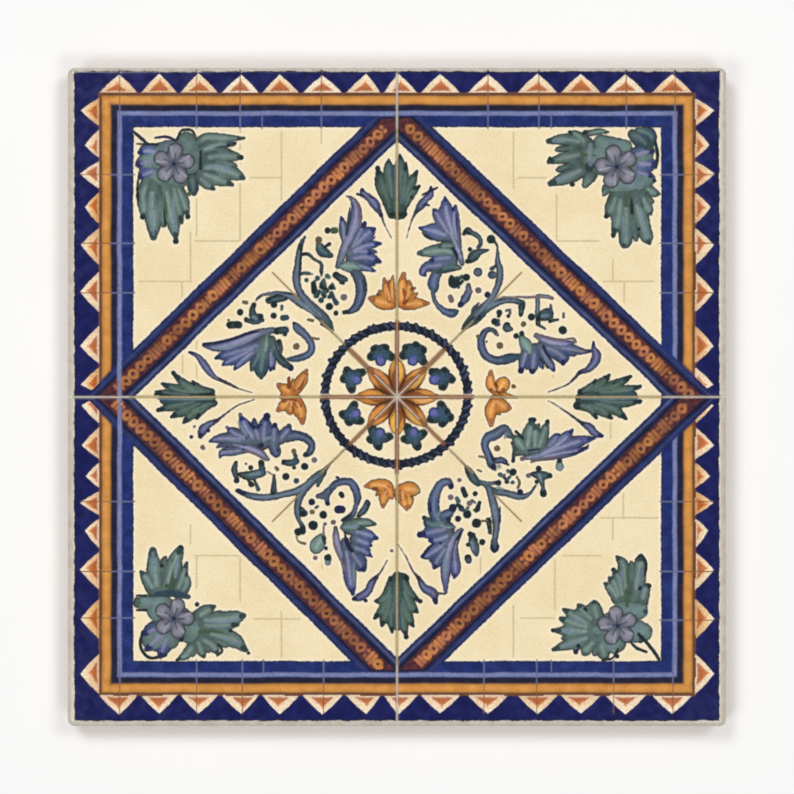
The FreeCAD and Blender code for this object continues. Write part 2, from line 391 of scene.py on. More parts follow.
def teeth(painting):
    """Cream triangles that stand on the brown line, each warmed by ochre and with a rust dab."""
    random = np.random.default_rng(11)
    for side in SIDE_SHIFT:
        level = side in ("top", "bottom")
        places = LEVEL_TEETH if level else UPRIGHT_TEETH
        ends = (-TEETH_END, *((a + b) / 2 for a, b in zip(places, places[1:])), TEETH_END)
        for place, start, end in zip(places, ends, ends[1:]):
            tip = (SHORT_TIP if not level and place in SHORT_TEETH else TOOTH_TIP) + random.normal(0, 0.15)
            low = max(start, place - WIDEST_HALF) + TOOTH_GAP
            high = min(end, place + WIDEST_HALF) - TOOTH_GAP
            foot, waist = TOOTH_BASE - 0.2, (TOOTH_BASE + tip) / 2 + 0.15
            outline = [(low, foot), ((low + place) / 2, waist), (place, tip),
                       ((high + place) / 2, waist), (high, foot)]
            warmth = random.uniform(0.1, 0.6) if level else random.uniform(0.3, 0.9)
            tones = [CREAM_TOOTH + (warm - CREAM_TOOTH) * warmth for warm in (OCHRE, PALE_OCHRE, CREAM_TOOTH)]
            painting.fill("dark", [on_side(side, *point) for point in outline], tones,
                          on_side(side, place, TOOTH_BASE), on_side(side, place, tip), smooth=False)
            middle = place + random.normal(0, 0.25)
            top = TOOTH_BASE + random.uniform(0.6, 0.8) * (tip - TOOTH_BASE)
            dab = [(middle + share * (place - low), TOOTH_BASE + 0.35) for share in (-0.55, -0.2, 0.2)]
            dab += [(middle + 0.5 * (high - place), TOOTH_BASE + 0.45), (middle + 0.45, top - 0.7),
                    (middle, top), (middle - 0.5, top - 0.8)]
            painting.fill("light", [on_side(side, *point) for point in dab], DAB_TONES,
                          on_side(side, place, TOOTH_BASE), on_side(side, place, top), edge=-0.2)


def diamond(painting):
    """The four diagonal bands: maroon with a run of small marks, between navy stripes."""
    x, y = np.meshgrid(painting.across, painting.along)
    gap, frame = diamond_gap(x, y), frame_gap(x, y)
    upright = abs(y) > abs(x)
    stop = np.where(upright, frame - FRAME["inner"][1] + 0.3, np.maximum(abs(x), abs(y)) - SIDE_TIP)
    def stripe(name, sooner=0.0):
        return np.maximum(band(*BAND[name], gap), stop + sooner)
    navy = stripe("navy")
    for coat in ("body", "dark"):
        painting.clear(coat, WHOLE, np.where(upright, FAR, navy))
    painting.clear("light", WHOLE, np.where(upright | ((x < 0) & (frame < LEFT_LIGHT_END)), FAR, navy))
    painting.lay("wash", WHOLE, navy, INNER_NAVY * (1 + 0.16 * wave(x, y, 5.0, 16))[..., None])
    painting.lay("body", WHOLE, stripe("ink"), even(x.shape, INK * 0.8))
    share = np.clip(0.45 + 0.5 * wave(x, y, 2.6, 17), 0, 1)[..., None]
    painting.lay("dark", WHOLE, stripe("maroon", 0.4), DEEP_MAROON + (MAROON * 1.3 - DEEP_MAROON) * share)
    pale = PERIWINKLE * 0.72 * (1 + 0.3 * wave(x, y, 9.0, 18))[..., None]
    painting.lay("body", WHOLE, stripe("inner_stripe"), pale)
    painting.lay("body", WHOLE, stripe("outer_stripe"), even(x.shape, STRIPE_BLUE))
    marks(painting)


def mark_strokes(kind, high):
    """The strokes of a mark, as points along its band and across it."""
    ring = [(0.75 * math.cos(turn), high * math.sin(turn)) for turn in np.linspace(0, 2 * math.pi, 9)]
    return {
        "bead": [ring],
        "lozenge": [[(-0.9, 0), (0, high), (0.9, 0), (0, -high), (-0.9, 0)]],
        "reel": [[(-0.5, -high), (-0.5, high)], [(0.5, -high), (0.5, high)]],
        "dots": [[(0, 0.55), (0, 0.7)], [(0, -0.7), (0, -0.55)]],
    }[kind]


def marks(painting):
    """The bead and reel along each band: beads, lozenges, paired bars and pairs of dots by turns."""
    random = np.random.default_rng(23)
    corners = list(DIAMOND.values())
    for (ax, ay), (bx, by) in zip(corners, corners[1:] + corners[:1]):
        corner, length = np.array([ax, ay]), math.hypot(bx - ax, by - ay)
        along, out = np.array([bx - ax, by - ay]) / length, np.array([ay - by, bx - ax]) / length
        place, glow = MARK_START, 0.9
        while place < length - MARK_STOP:
            kind = random.choice(list(MARKS), p=[share for share, half in MARKS.values()])
            half, high = MARKS[kind][1], random.uniform(0.75, 1.0)
            place += half
            here = corner + along * place
            if abs(here[0]) > MARKS_END[0] or abs(here[1]) > MARKS_END[1]:
                continue
            glow = np.clip(glow + random.normal(0, 0.2), 0.6, 1.1)
            colour = (TERRA + (ORANGE - TERRA) * random.uniform(0, 0.7)) * glow
            for stroke in mark_strokes(kind, high):
                rows = []
                for ahead, aside in stroke:
                    spot = corner + along * (place + ahead) + out * (aside - MARK_SHIFT)
                    spot = spot + random.normal(0, 0.07, 2)
                    rows.append((*spot, 0.36 * random.uniform(0.7, 1.4)))
                painting.brush("light", rows, colour, colour * 0.72, steps=3)
            if kind in ("bead", "lozenge"):
                painting.brush("light", [(*(here - out * MARK_SHIFT), 0.26)], DEEP_MAROON * 0.7)
            place += half + MARK_GAP


def on_ring(angle, out=0.0):
    """A point on the rosette's ring, or beside it by a share of a millimetre."""
    x, y = RING["middle"]
    return (x + (RING["across"] + out) * math.cos(angle), y + (RING["along"] + out) * math.sin(angle))


def rope_ring(painting):
    """The rosette's dark ring, drawn as a twisted rope of slanted dabs."""
    random = np.random.default_rng(31)
    core = [(*on_ring(turn), RING["half"] * 0.85) for turn in np.linspace(0, 2 * math.pi, 73)]
    painting.brush("body", core, tone(12, 20, 40), steps=2)
    for number in range(ROPE_DABS):
        angle = 2 * math.pi * (number + random.normal(0, 0.12)) / ROPE_DABS
        middle, turn = on_ring(angle + 0.03), angle + ROPE_LEAN
        reach = 0.8 + random.normal(0, 0.14)
        dab = [(*on_ring(angle, -0.75), 0.4), (*middle, 0.6), (*on_ring(turn, reach), 0.5)]
        painting.brush("body", dab, tone(12, 18, 40), tone(22, 34, 58), steps=3)
        glint = [(*on_ring(angle, -0.8), 0.06), (*middle, 0.2), (*on_ring(turn, 0.7), 0.12)]
        shine = random.uniform(0.25, 1.1)
        painting.brush("light", glint, tone(46, 60, 88) * shine, tone(92, 108, 134) * shine, steps=3)
    for angle in np.arange(4) * math.pi / 2:
        painting.brush("light", [(*on_ring(angle, -0.9), 0.3), (*on_ring(angle, 0.9), 0.3)], PALE_LINE)


def star_petal(painting, turn, long, tip):
    """One petal of the middle star, with brown lines along its sides and its middle."""
    cos, sin = math.cos(math.radians(turn)), math.sin(math.radians(turn))
    def place(points):
        return [(cos * x - sin * y, sin * x + cos * y, *rest) for x, y, *rest in points]
    half = [(1.2, 2.4), (2.0, 5.0), (1.55, 7.4)]
    outline = place([(0, 0.8), *((-x, y) for x, y in half), (0, long), *reversed(half)])
    ends = place([(0, 1.2), (0, long)])
    painting.fill("wash", outline, (BROWN, ORANGE * 0.72, ORANGE * 0.9, tip * 0.95), *ends, edge=0.15)
    for side in (-1, 1):
        rim = place([(side * 0.8, 1.5, 0.34), (side * 1.75, 4.2, 0.24), (side * 1.6, 6.2, 0.1)])
        painting.brush("body", rim, BROWN * 0.8, BROWN * 1.1, SIENNA * 1.3)
    vein = place([(-0.6, 2.0, 0.3), (-0.95, 4.4, 0.36), (-0.4, 6.4, 0.1)])
    painting.brush("body", vein, SIENNA, tone(190, 104, 40), ORANGE)
    painting.brush("light", place([(0.6, 3.8, 0.1), (0.9, 5.8, 0.42), (0.5, 7.8, 0.2)]), tip)


CORNER_FLOWERS = (  # middle, radius, turn in degrees
    ((-50.8, 53), 4.9, 15), ((50, 52.4), 5.1, 35), ((-50.8, -50.4), 4.8, 5), ((50.2, -52.1), 4.7, 30),
)


def corner_flower(painting, middle, radius, turn):
    """A plain lilac-grey flower with five broad petals that overlap."""
    def at(share, degrees, half):
        angle, reach = math.radians(turn + degrees), share * radius
        return (middle[0] + reach * math.cos(angle), middle[1] + reach * math.sin(angle), half * radius)
    part, x, y = painting.window(np.array(middle) - radius, np.array(middle) + radius)
    for coat in ("dark", "light"):
        painting.clear(coat, part, np.hypot(x - middle[0], y - middle[1]) - radius)
    for degrees in range(0, 360, 72):
        petal = [at(0.1, degrees, 0.2), at(0.42, degrees, 0.33), at(0.64, degrees - 4, 0.37)]
        painting.brush("body", petal, SLATE * 0.5, LILAC_GREY * 0.62, LILAC_GREY * 0.85, edge=0.72)
        painting.brush("light", [at(0.3, degrees + 8, 0.01), at(0.8, degrees + 12, 0.05)], LILAC_GREY * 1.15)
        painting.brush("dark", [at(0.12, degrees - 4, 0.03), at(0.5, degrees - 7, 0.03)], SLATE * 0.35)
    painting.brush("dark", [at(0, 0, 0.1)], DEEP_BLUE * 0.5)


def rosette_flower(painting, heart, petal_tips):
    """A small dark flower whose petals run from its pale heart to their tips."""
    x, y = heart
    middle_x, middle_y = np.mean([heart, *petal_tips], axis=0)
    painting.brush("wash", [(x, y, 1.3), (middle_x, middle_y, 1.9)], BLUE * 0.9, TEAL * 0.9, edge=0.4)
    for tip_x, tip_y in petal_tips:
        halfway = ((middle_x + tip_x) / 2, (middle_y + tip_y) / 2)
        petal = [(x, y, 0.9), (*halfway, 1.2), (0.97 * tip_x, 0.97 * tip_y, 1.0)]
        painting.brush("wash", petal, BLUE * 0.75, TEAL * 0.85, DEEP_LEAF * 0.6, edge=0.55)
        dab = [(0.95 * tip_x, 0.95 * tip_y, 0.3), (0.98 * tip_x, 0.98 * tip_y, 0.6)]
        painting.brush("dark", dab, BLACK_GREEN)
        glint = [(middle_x, middle_y, 0.1), (0.3 * x + 0.7 * tip_x, 0.3 * y + 0.7 * tip_y, 0.2)]
        painting.brush("light", glint, TEAL * 1.3)
    painting.brush("light", [(x, y, 0.7), (1.12 * x, 1.12 * y, 0.4)], VIOLET * 1.05, BLUE)


def rosette(painting):
    """The middle: a star of eight petals and eight small flowers inside the rope ring."""
    gold = tone(232, 186, 84)
    tips = (gold, TERRA * 1.2, ORANGE, ORANGE, gold, OLIVE_GOLD, PALE_ORANGE, OLIVE_GOLD)
    for number in range(8):
        long = 9.6 if number % 2 else (8.8, 9.7)[number % 4 // 2]
        star_petal(painting, 45 * number, long, tips[number])
    for heart, tips_out in ROSETTE_FLOWERS:
        rosette_flower(painting, heart, tips_out)
    rope_ring(painting)


# Each drawing lists its strokes by style, and each stroke runs through (x, y, half width) points from its
# root to its tip. A stroke of a single point is a dot.
STYLES = {  # coat, tones from root to tip, how much darker the rim is, tone of the tip, tone of a pale middle
    "vein": ("wash", (SLATE, LAVENDER * 0.82, SLATE * 0.5 + VIOLET * 0.55, VIOLET * 0.65), 0.68,
             None, LAVENDER),
    "blue": ("wash", (SLATE * 0.8, BLUE * 0.5 + SLATE * 0.5, BLUE * 0.7 + SLATE * 0.2), 0.75,
             DEEP_BLUE * 0.75, LAVENDER * 0.8),
    "violet": ("wash", (SLATE * 0.85, VIOLET * 0.4 + SLATE * 0.45, BLUE * 0.5 + VIOLET * 0.3), 0.65,
               DEEP_BLUE * 0.9, LAVENDER * 0.9),
    "teal": ("wash", (LEAF * 0.55, TEAL * 1.05, TEAL * 0.8), 0.7, DEEP_LEAF * 0.7, LEAF * 0.7),
    "dusky": ("wash", (DEEP_LEAF * 0.7, DEEP_LEAF * 1.1, TEAL * 0.9), 0.2, None, None),
    "palm": ("wash", (DEEP_LEAF * 0.7, LEAF * 0.32 + MOSS * 0.7, TEAL * 0.75), 0.6,
             BLACK_GREEN * 1.3, LEAF * 0.66),
    "green": ("wash", (LEAF * 0.6, LEAF * 0.8, LEAF * 0.62), 0.7, DEEP_LEAF * 0.8, PALE_LEAF * 0.85),
    "frond": ("wash", (LEAF * 0.5, LEAF * 0.86, LEAF * 0.8), 0.75, DEEP_LEAF * 0.55, PALE_LEAF * 0.8),
    "bud": ("wash", (DUSK, BLUE * 0.5 + SLATE * 0.35, VIOLET * 0.75, BLUE * 0.5), 0.6, INK, LAVENDER * 0.7),
    "sage": ("wash", (LEAF, LEAF * 1.05, LEAF * 0.9), 0.5, None, PALE_LEAF),
    "bed": ("wash", (LEAF * 0.85, SLATE * 0.5 + LEAF * 0.5, LEAF * 0.8), 0.45, None, None),
    "lilac": ("body", (SLATE, LILAC_GREY * 1.1, LILAC_GREY * 1.05), 0.6, None, None),
    "curl": ("wash", (SLATE * 0.7, BLUE * 0.45 + SLATE * 0.35, TEAL), 0.7, None, SLATE * 1.15),
    "scroll": ("wash", (DEEP_LEAF, SLATE * 0.8, SLATE * 0.75, TEAL), 0.6, None, SLATE * 1.35),
    "trunk": ("wash", (BLACK_GREEN, DEEP_LEAF, TEAL), 0.5, None, SLATE * 0.7),
    "stem": ("body", (OLIVE_GREY, MAUVE_GREY, DUSK), 0.3, None, None),
    "night": ("dark", (BLACK_GREEN,), 0.0, None, None),
    "ink": ("dark", (INK,), 0.0, None, None),
    "moss": ("dark", (MOSS,), 0.0, None, None),
    "shade": ("dark", (TEAL * 0.6,), 0.0, None, None),
    "olive": ("dark", (OLIVE_DARK,), 0.0, None, None),
    "mauve": ("dark", (MAUVE_GREY * 0.7,), 0.0, None, None),
    "mist": ("light", (LEAF * 0.5 + SLATE * 0.8, SLATE * 1.2), 0.0, None, None),
    "orange": ("wash", (RUST * 0.7 + ORANGE * 0.3, ORANGE, ORANGE * 0.86), 0.5,
               RUST * 0.6 + OLIVE_GREY * 0.3, PALE_ORANGE),
    "amber": ("wash", (ORANGE * 0.9, ORANGE, OLIVE_GOLD * 0.85), 0.5, None, PALE_OCHRE),
    "rust": ("body", (SIENNA * 1.2, RUST), 0.2, None, None),
}
# Styles whose lobes grow from one base, and how far along them the webs between them reach.
WEBBED = {"blue": 1.0, "violet": 1.0, "teal": 1.0, "green": 1.0, "frond": 0.88, "palm": 0.6, "orange": 1.0}
SPREAD = ("vein", "sage", "amber", "curl")  # other styles whose strokes are pressed wider at the root
SPREAD_SHARE = 0.47  # how much wider, as a share of what a web of reach 1 brings
WIDENING = 0.32  # what a web of reach 1 brings

ACANTHUS_TOP_LEFT = {
    "vein": [
        [(-13.4, 29.8, 0.6), (-12.4, 32.5, 0.9), (-11.4, 35, 1), (-10, 38, 1.2), (-9.3, 41, 1.25),
         (-9.4, 43.4, 0.9), (-10.4, 45.2, 0.45), (-11.6, 45.7, 0.25)],
    ],
    "violet": [[(-12, 35.4, 0.5), (-12.2, 38.4, 0.85), (-12.7, 41, 0.4)]],
    "blue": [
        [(-10.4, 33.4, 1), (-8.8, 36.6, 1.2), (-7.4, 39.6, 0.7)],
        [(-9.8, 34, 1), (-7.2, 36.8, 1.3), (-5.1, 38.3, 0.6)],
        [(-10.6, 32.8, 1), (-7.2, 34.4, 1), (-3.8, 34.9, 0.6)],
        [(-10.4, 31.4, 1), (-7, 31.8, 1.2), (-3.9, 30.8, 0.7)],
        [(-9, 30, 1), (-7, 29.4, 0.7), (-5, 28.7, 0.45)],
        [(-10, 33, 1), (-7.8, 33.2, 1.3), (-6, 32.8, 0.8)],
    ],
    "sage": [[(-13, 29.8, 0.5), (-10.4, 29.7, 1.3), (-8.2, 29.4, 1)]],
    "curl": [
        [(-9.8, 28.8, 1), (-8.6, 27, 1.2), (-8.1, 25, 1.2), (-8.4, 22.6, 1.05), (-9.2, 20.6, 0.9),
         (-10.6, 19.5, 0.6), (-11.9, 19.3, 0.5)],
    ],
    "scroll": [
        [(-14.4, 15.2, 0.2), (-15.8, 17, 1), (-17.4, 18.6, 1.3), (-19.5, 20.6, 1.15), (-21.4, 22.8, 0.9),
         (-22.6, 25, 0.9), (-22.9, 27.4, 0.95), (-22.6, 30, 0.8), (-22.3, 32.6, 0.75), (-21.8, 34.8, 0.6),
         (-21, 36.4, 0.3)],
    ],
    "trunk": [
        [(-21.8, 32.4, 0.4), (-20.2, 32.5, 0.45), (-18.8, 31.3, 0.4), (-17.3, 30.4, 0.4),
         (-17.2, 28.8, 0.5), (-17.2, 27.6, 0.25)], [(-22, 28, 0.4), (-20.6, 28.2, 0.45), (-19.3, 28, 0.3)],
        [(-13.9, 27.8, 0.8), (-12.8, 27, 0.9), (-11.8, 26.8, 0.7)],
    ],
    "teal": [[(-17.8, 34.8, 0.5), (-17, 33.2, 1), (-15, 32.2, 0.8)]],
    "night": [
        [(-11.2, 19.4, 0.4), (-12, 19.3, 0.55)], [(-13.9, 27.6, 0.7), (-13.3, 27.2, 0.5)],
        [(-12.8, 26, 0.4), (-12.2, 25.9, 0.4)], [(-16.4, 34.2, 0.35), (-15.4, 34.8, 0.5)],
        [(-15.8, 37.9, 0.6)], [(-19, 25.8, 0.65), (-18.8, 24, 0.75)], [(-17.2, 25.2, 0.5)],
        [(-14.9, 25, 0.6)], [(-15.4, 20.6, 0.7)], [(-13.9, 19.1, 0.5)],
        [(-21.9, 34.6, 0.3), (-22, 31, 0.35), (-22, 28, 0.25)],
    ],
    "shade": [
        [(-7.6, 26.4, 0.4), (-7.4, 24.4, 0.45)],
        [(-14.9, 23.6, 0.55), (-14.4, 22.4, 0.5), (-13.8, 21.4, 0.65)], [(-17.3, 22, 0.55)],
        [(-20.6, 26.6, 0.45)], [(-18.1, 27, 0.5)], [(-15.2, 32.2, 0.5)],
        [(-11.5, 37, 0.3), (-11, 40, 0.45), (-10.7, 43, 0.25)],
    ],
    "mauve": [
        [(-8.5, 38, 0.15), (-8.2, 41, 0.25), (-8.9, 43.6, 0.25), (-10.2, 45.3, 0.2)], [(-12.1, 22.7, 0.65)],
    ],
    "olive": [[(-17.8, 35.8, 0.65)], [(-20.2, 17.6, 0.35), (-19.2, 17.4, 0.4)]],
    "moss": [[(-14.5, 37.9, 0.75), (-14.1, 37.9, 0.8)]],
}
ACANTHUS_TOP_RIGHT = {
    "vein": [[(14.8, 30.4, 0.5), (14, 33, 0.75), (12.6, 36.4, 0.75), (11.2, 39.4, 0.45)]],
    "violet": [
        [(13, 35.5, 0.8), (10.6, 39, 1.1), (9.2, 41.4, 0.9), (8.3, 42.8, 0.35)],
        [(13.4, 35, 0.8), (12, 39, 1.3), (11.2, 42.5, 1.2), (10.9, 45.5, 0.4)],
        [(14, 34, 0.6), (13.2, 38, 1), (13, 41.4, 0.9), (13.3, 43.6, 0.4)],
    ],
    "blue": [
        [(12.4, 36.2, 0.8), (9.2, 37.5, 1.6), (6.8, 38.1, 0.8), (5.1, 38.5, 0.4)],
        [(12.6, 31.8, 1.1), (9.8, 31.5, 1.1), (7.6, 31, 0.6)],
        [(12.8, 30.6, 0.8), (9, 29.9, 1.1), (6.8, 29.6, 0.9), (5.8, 28.3, 0.65), (6.5, 27.7, 0.45)],
    ],
    "green": [
        [(14, 32.6, 0.8), (10.5, 33.3, 1.3), (7, 33, 0.9), (4.9, 32.7, 0.7)],
        [(13, 34.4, 0.8), (11, 34.4, 0.9), (9.6, 34.2, 0.6)],
    ],
    "teal": [[(14.2, 29.4, 0.4), (12, 29.6, 0.9), (9.2, 28.4, 1)]],
    "curl": [
        [(9.4, 28.6, 1), (8.5, 27, 1.1), (8.3, 25.4, 1.15), (8.8, 24.1, 0.6)],
        [(8, 24.6, 0.5), (8.6, 21.9, 0.45), (9.8, 20.3, 0.6), (11.3, 19.3, 0.8), (12.7, 19.1, 0.9),
         (13.8, 19.6, 0.4)],
        [(16.2, 25.5, 0.45), (16.2, 23.8, 0.75), (15.4, 22.2, 0.85), (14.3, 20.9, 0.6)],
    ],
    "scroll": [
        [(14.7, 15.4, 0.2), (15.9, 16.6, 0.8), (17.6, 18.2, 1.2), (19.3, 19.9, 1.2), (21, 21.7, 0.85),
         (22.4, 24, 0.75), (23.3, 26.6, 0.85), (23.4, 29, 0.8), (22.9, 31, 0.65), (22.9, 33.2, 0.35),
         (22.7, 34.8, 0.3), (21.8, 35.6, 0.4)], [(22.6, 27.8, 0.6), (21.6, 27.8, 1)],
    ],
    "trunk": [
        [(16.6, 31, 0.6), (17.4, 32, 1.25), (18.7, 33, 0.8), (20.8, 33.4, 0.3)],
        [(18.6, 21.3, 0.3), (17.6, 20.2, 0.5), (17.2, 19.2, 0.5)],
        [(15.3, 37.2, 0.5), (16.1, 38, 0.7), (17, 37.4, 0.6), (18.4, 36.6, 0.6), (19.1, 35.2, 0.5),
         (18.5, 34, 0.5)], [(22.4, 29.8, 0.4), (21.6, 29.2, 0.5)],
    ],
    "night": [
        [(21.4, 35.9, 0.85)], [(13, 26, 1.1)], [(15.8, 27.2, 0.7)], [(16, 30.9, 0.5)], [(16.6, 33.6, 0.45)],
        [(15.6, 37.6, 0.5), (16.4, 37.4, 0.6)], [(8, 35.8, 0.3), (6.6, 36.6, 0.35), (5.9, 37.4, 0.3)],
        [(15.6, 16.2, 0.4), (17, 17.6, 0.4), (18.6, 18.4, 0.3)],
    ],
    "ink": [
        [(20.6, 23.3, 0.6)], [(14.5, 21, 0.6)], [(13.6, 38, 0.2), (13.4, 41, 0.3), (12.7, 42.8, 0.3)],
        [(12.2, 34.6, 0.2), (13.4, 32.6, 0.4), (13.8, 31.4, 0.2)],
    ],
    "mauve": [[(12.1, 22.8, 0.6), (12.4, 22, 0.65)], [(18.5, 24.3, 0.6)], [(16.8, 24, 0.4)]],
    "lilac": [[(18.4, 28.4, 0.85)]],
    "mist": [[(19.6, 20.6, 0.1), (21.4, 22.6, 0.35), (22.4, 24.6, 0.15)]],
}
ACANTHUS_LEFT_UPPER = {
    "vein": [
        [(-28.4, 15.2, 0.7), (-31.5, 14.4, 1), (-35, 13, 1.2), (-39, 11.6, 1.1), (-42, 11.3, 0.7),
         (-44.2, 11.7, 0.35)],
    ],
    "blue": [
        [(-30, 12.6, 1), (-34, 11, 1.1), (-38.5, 9.7, 1), (-41.2, 8.9, 0.6)],
        [(-31, 12, 1), (-35, 9.8, 1), (-38.3, 8.1, 0.7), (-39.7, 7.3, 0.4)],
        [(-31, 11.4, 1), (-34.4, 9, 0.9), (-36.1, 7.4, 0.65), (-36.9, 6.4, 0.55)],
        [(-28.8, 10.6, 1), (-28.6, 8, 0.9), (-28.8, 6.2, 0.65)],
    ],
    "teal": [
        [(-31, 10.6, 1.2), (-32.2, 8, 1), (-33.1, 6.2, 0.65)],
        [(-30, 12.6, 1.4), (-30.6, 9, 1.7), (-30.9, 6.5, 1.3), (-30.9, 4.6, 0.85)],
        [(-28.6, 13, 0.8), (-27.5, 10, 0.7), (-26, 8, 0.75), (-24.2, 6.7, 0.9)],
    ],
    "sage": [[(-29.6, 14, 0.6), (-29.8, 11.6, 1.2), (-30.2, 9.4, 1)]],
    "curl": [
        [(-23.4, 16.8, 0.3), (-22.6, 15.6, 0.9), (-20.8, 14, 0.8), (-19.5, 12, 0.75), (-19.7, 10.2, 0.75),
         (-21.2, 9.2, 0.75), (-23.2, 8.7, 0.7), (-25, 8.6, 0.5)],
    ],
    "scroll": [
        [(-17.6, 18.8, 1), (-19.5, 20.2, 1.1), (-22, 21.6, 1.15), (-24.2, 22.9, 0.85), (-27, 23.6, 0.55),
         (-29.5, 23.4, 0.4), (-31, 23, 0.35), (-32, 22.1, 0.35)],
    ],
    "trunk": [
        [(-25.2, 22.5, 0.6), (-27.5, 22.3, 0.95), (-29.2, 22, 0.8)],
        [(-32.6, 21, 0.6), (-32.9, 19.6, 0.7), (-32.5, 18.2, 1), (-31, 18.3, 0.7)],
        [(-34.4, 17.7, 0.5), (-32.5, 17, 0.6), (-30.6, 17.5, 0.5)],
        [(-27.4, 15, 0.85), (-25.4, 15.3, 0.85)], [(-38, 16.4, 0.9), (-36, 16.4, 0.85)],
        [(-26.8, 12.6, 0.6), (-26.4, 10.8, 0.5), (-26.8, 9.4, 0.4)],
    ],
    "night": [
        [(-28, 21, 0.65)], [(-29.2, 22.2, 0.4), (-26.6, 23.4, 0.3), (-24, 23.5, 0.3)],
        [(-35.7, 19.3, 0.65)], [(-28.1, 18.5, 0.6)], [(-36.4, 16.5, 0.65)],
        [(-27.8, 10.4, 0.3), (-25.6, 7.6, 0.4)], [(-34.2, 17.4, 0.45)], [(-31, 18.3, 0.5)],
        [(-25.5, 14.3, 0.45)], [(-17.2, 16.6, 0.35), (-15.6, 15.6, 0.3)],
    ],
    "ink": [
        [(-31.4, 15, 0.2), (-34, 14.4, 0.35), (-37.5, 13.2, 0.35), (-41, 12.4, 0.35), (-44, 12, 0.4)],
        [(-23.4, 16.8, 0.3)], [(-24.2, 6.6, 0.6)], [(-22.4, 9, 0.4), (-21.4, 9.2, 0.35)],
    ],
    "shade": [[(-26, 18, 0.7), (-25.2, 18.1, 0.7)]],
    "olive": [
        [(-34.9, 21.6, 0.45), (-34.3, 21.5, 0.5)], [(-22.9, 11.5, 0.65)],
        [(-19.3, 13.4, 0.3), (-17.8, 13.2, 0.3)], [(-38.3, 17.5, 0.3)],
    ],
    "mist": [
        [(-32.6, 18.2, 0.4), (-32, 17.8, 0.35)],
        [(-41.6, 11.2, 0.2), (-38.6, 11.2, 0.4), (-35.4, 12.2, 0.2)],
        [(-22.6, 21.8, 0.15), (-20.6, 20.4, 0.4), (-18.6, 18.6, 0.2)],
    ],
}
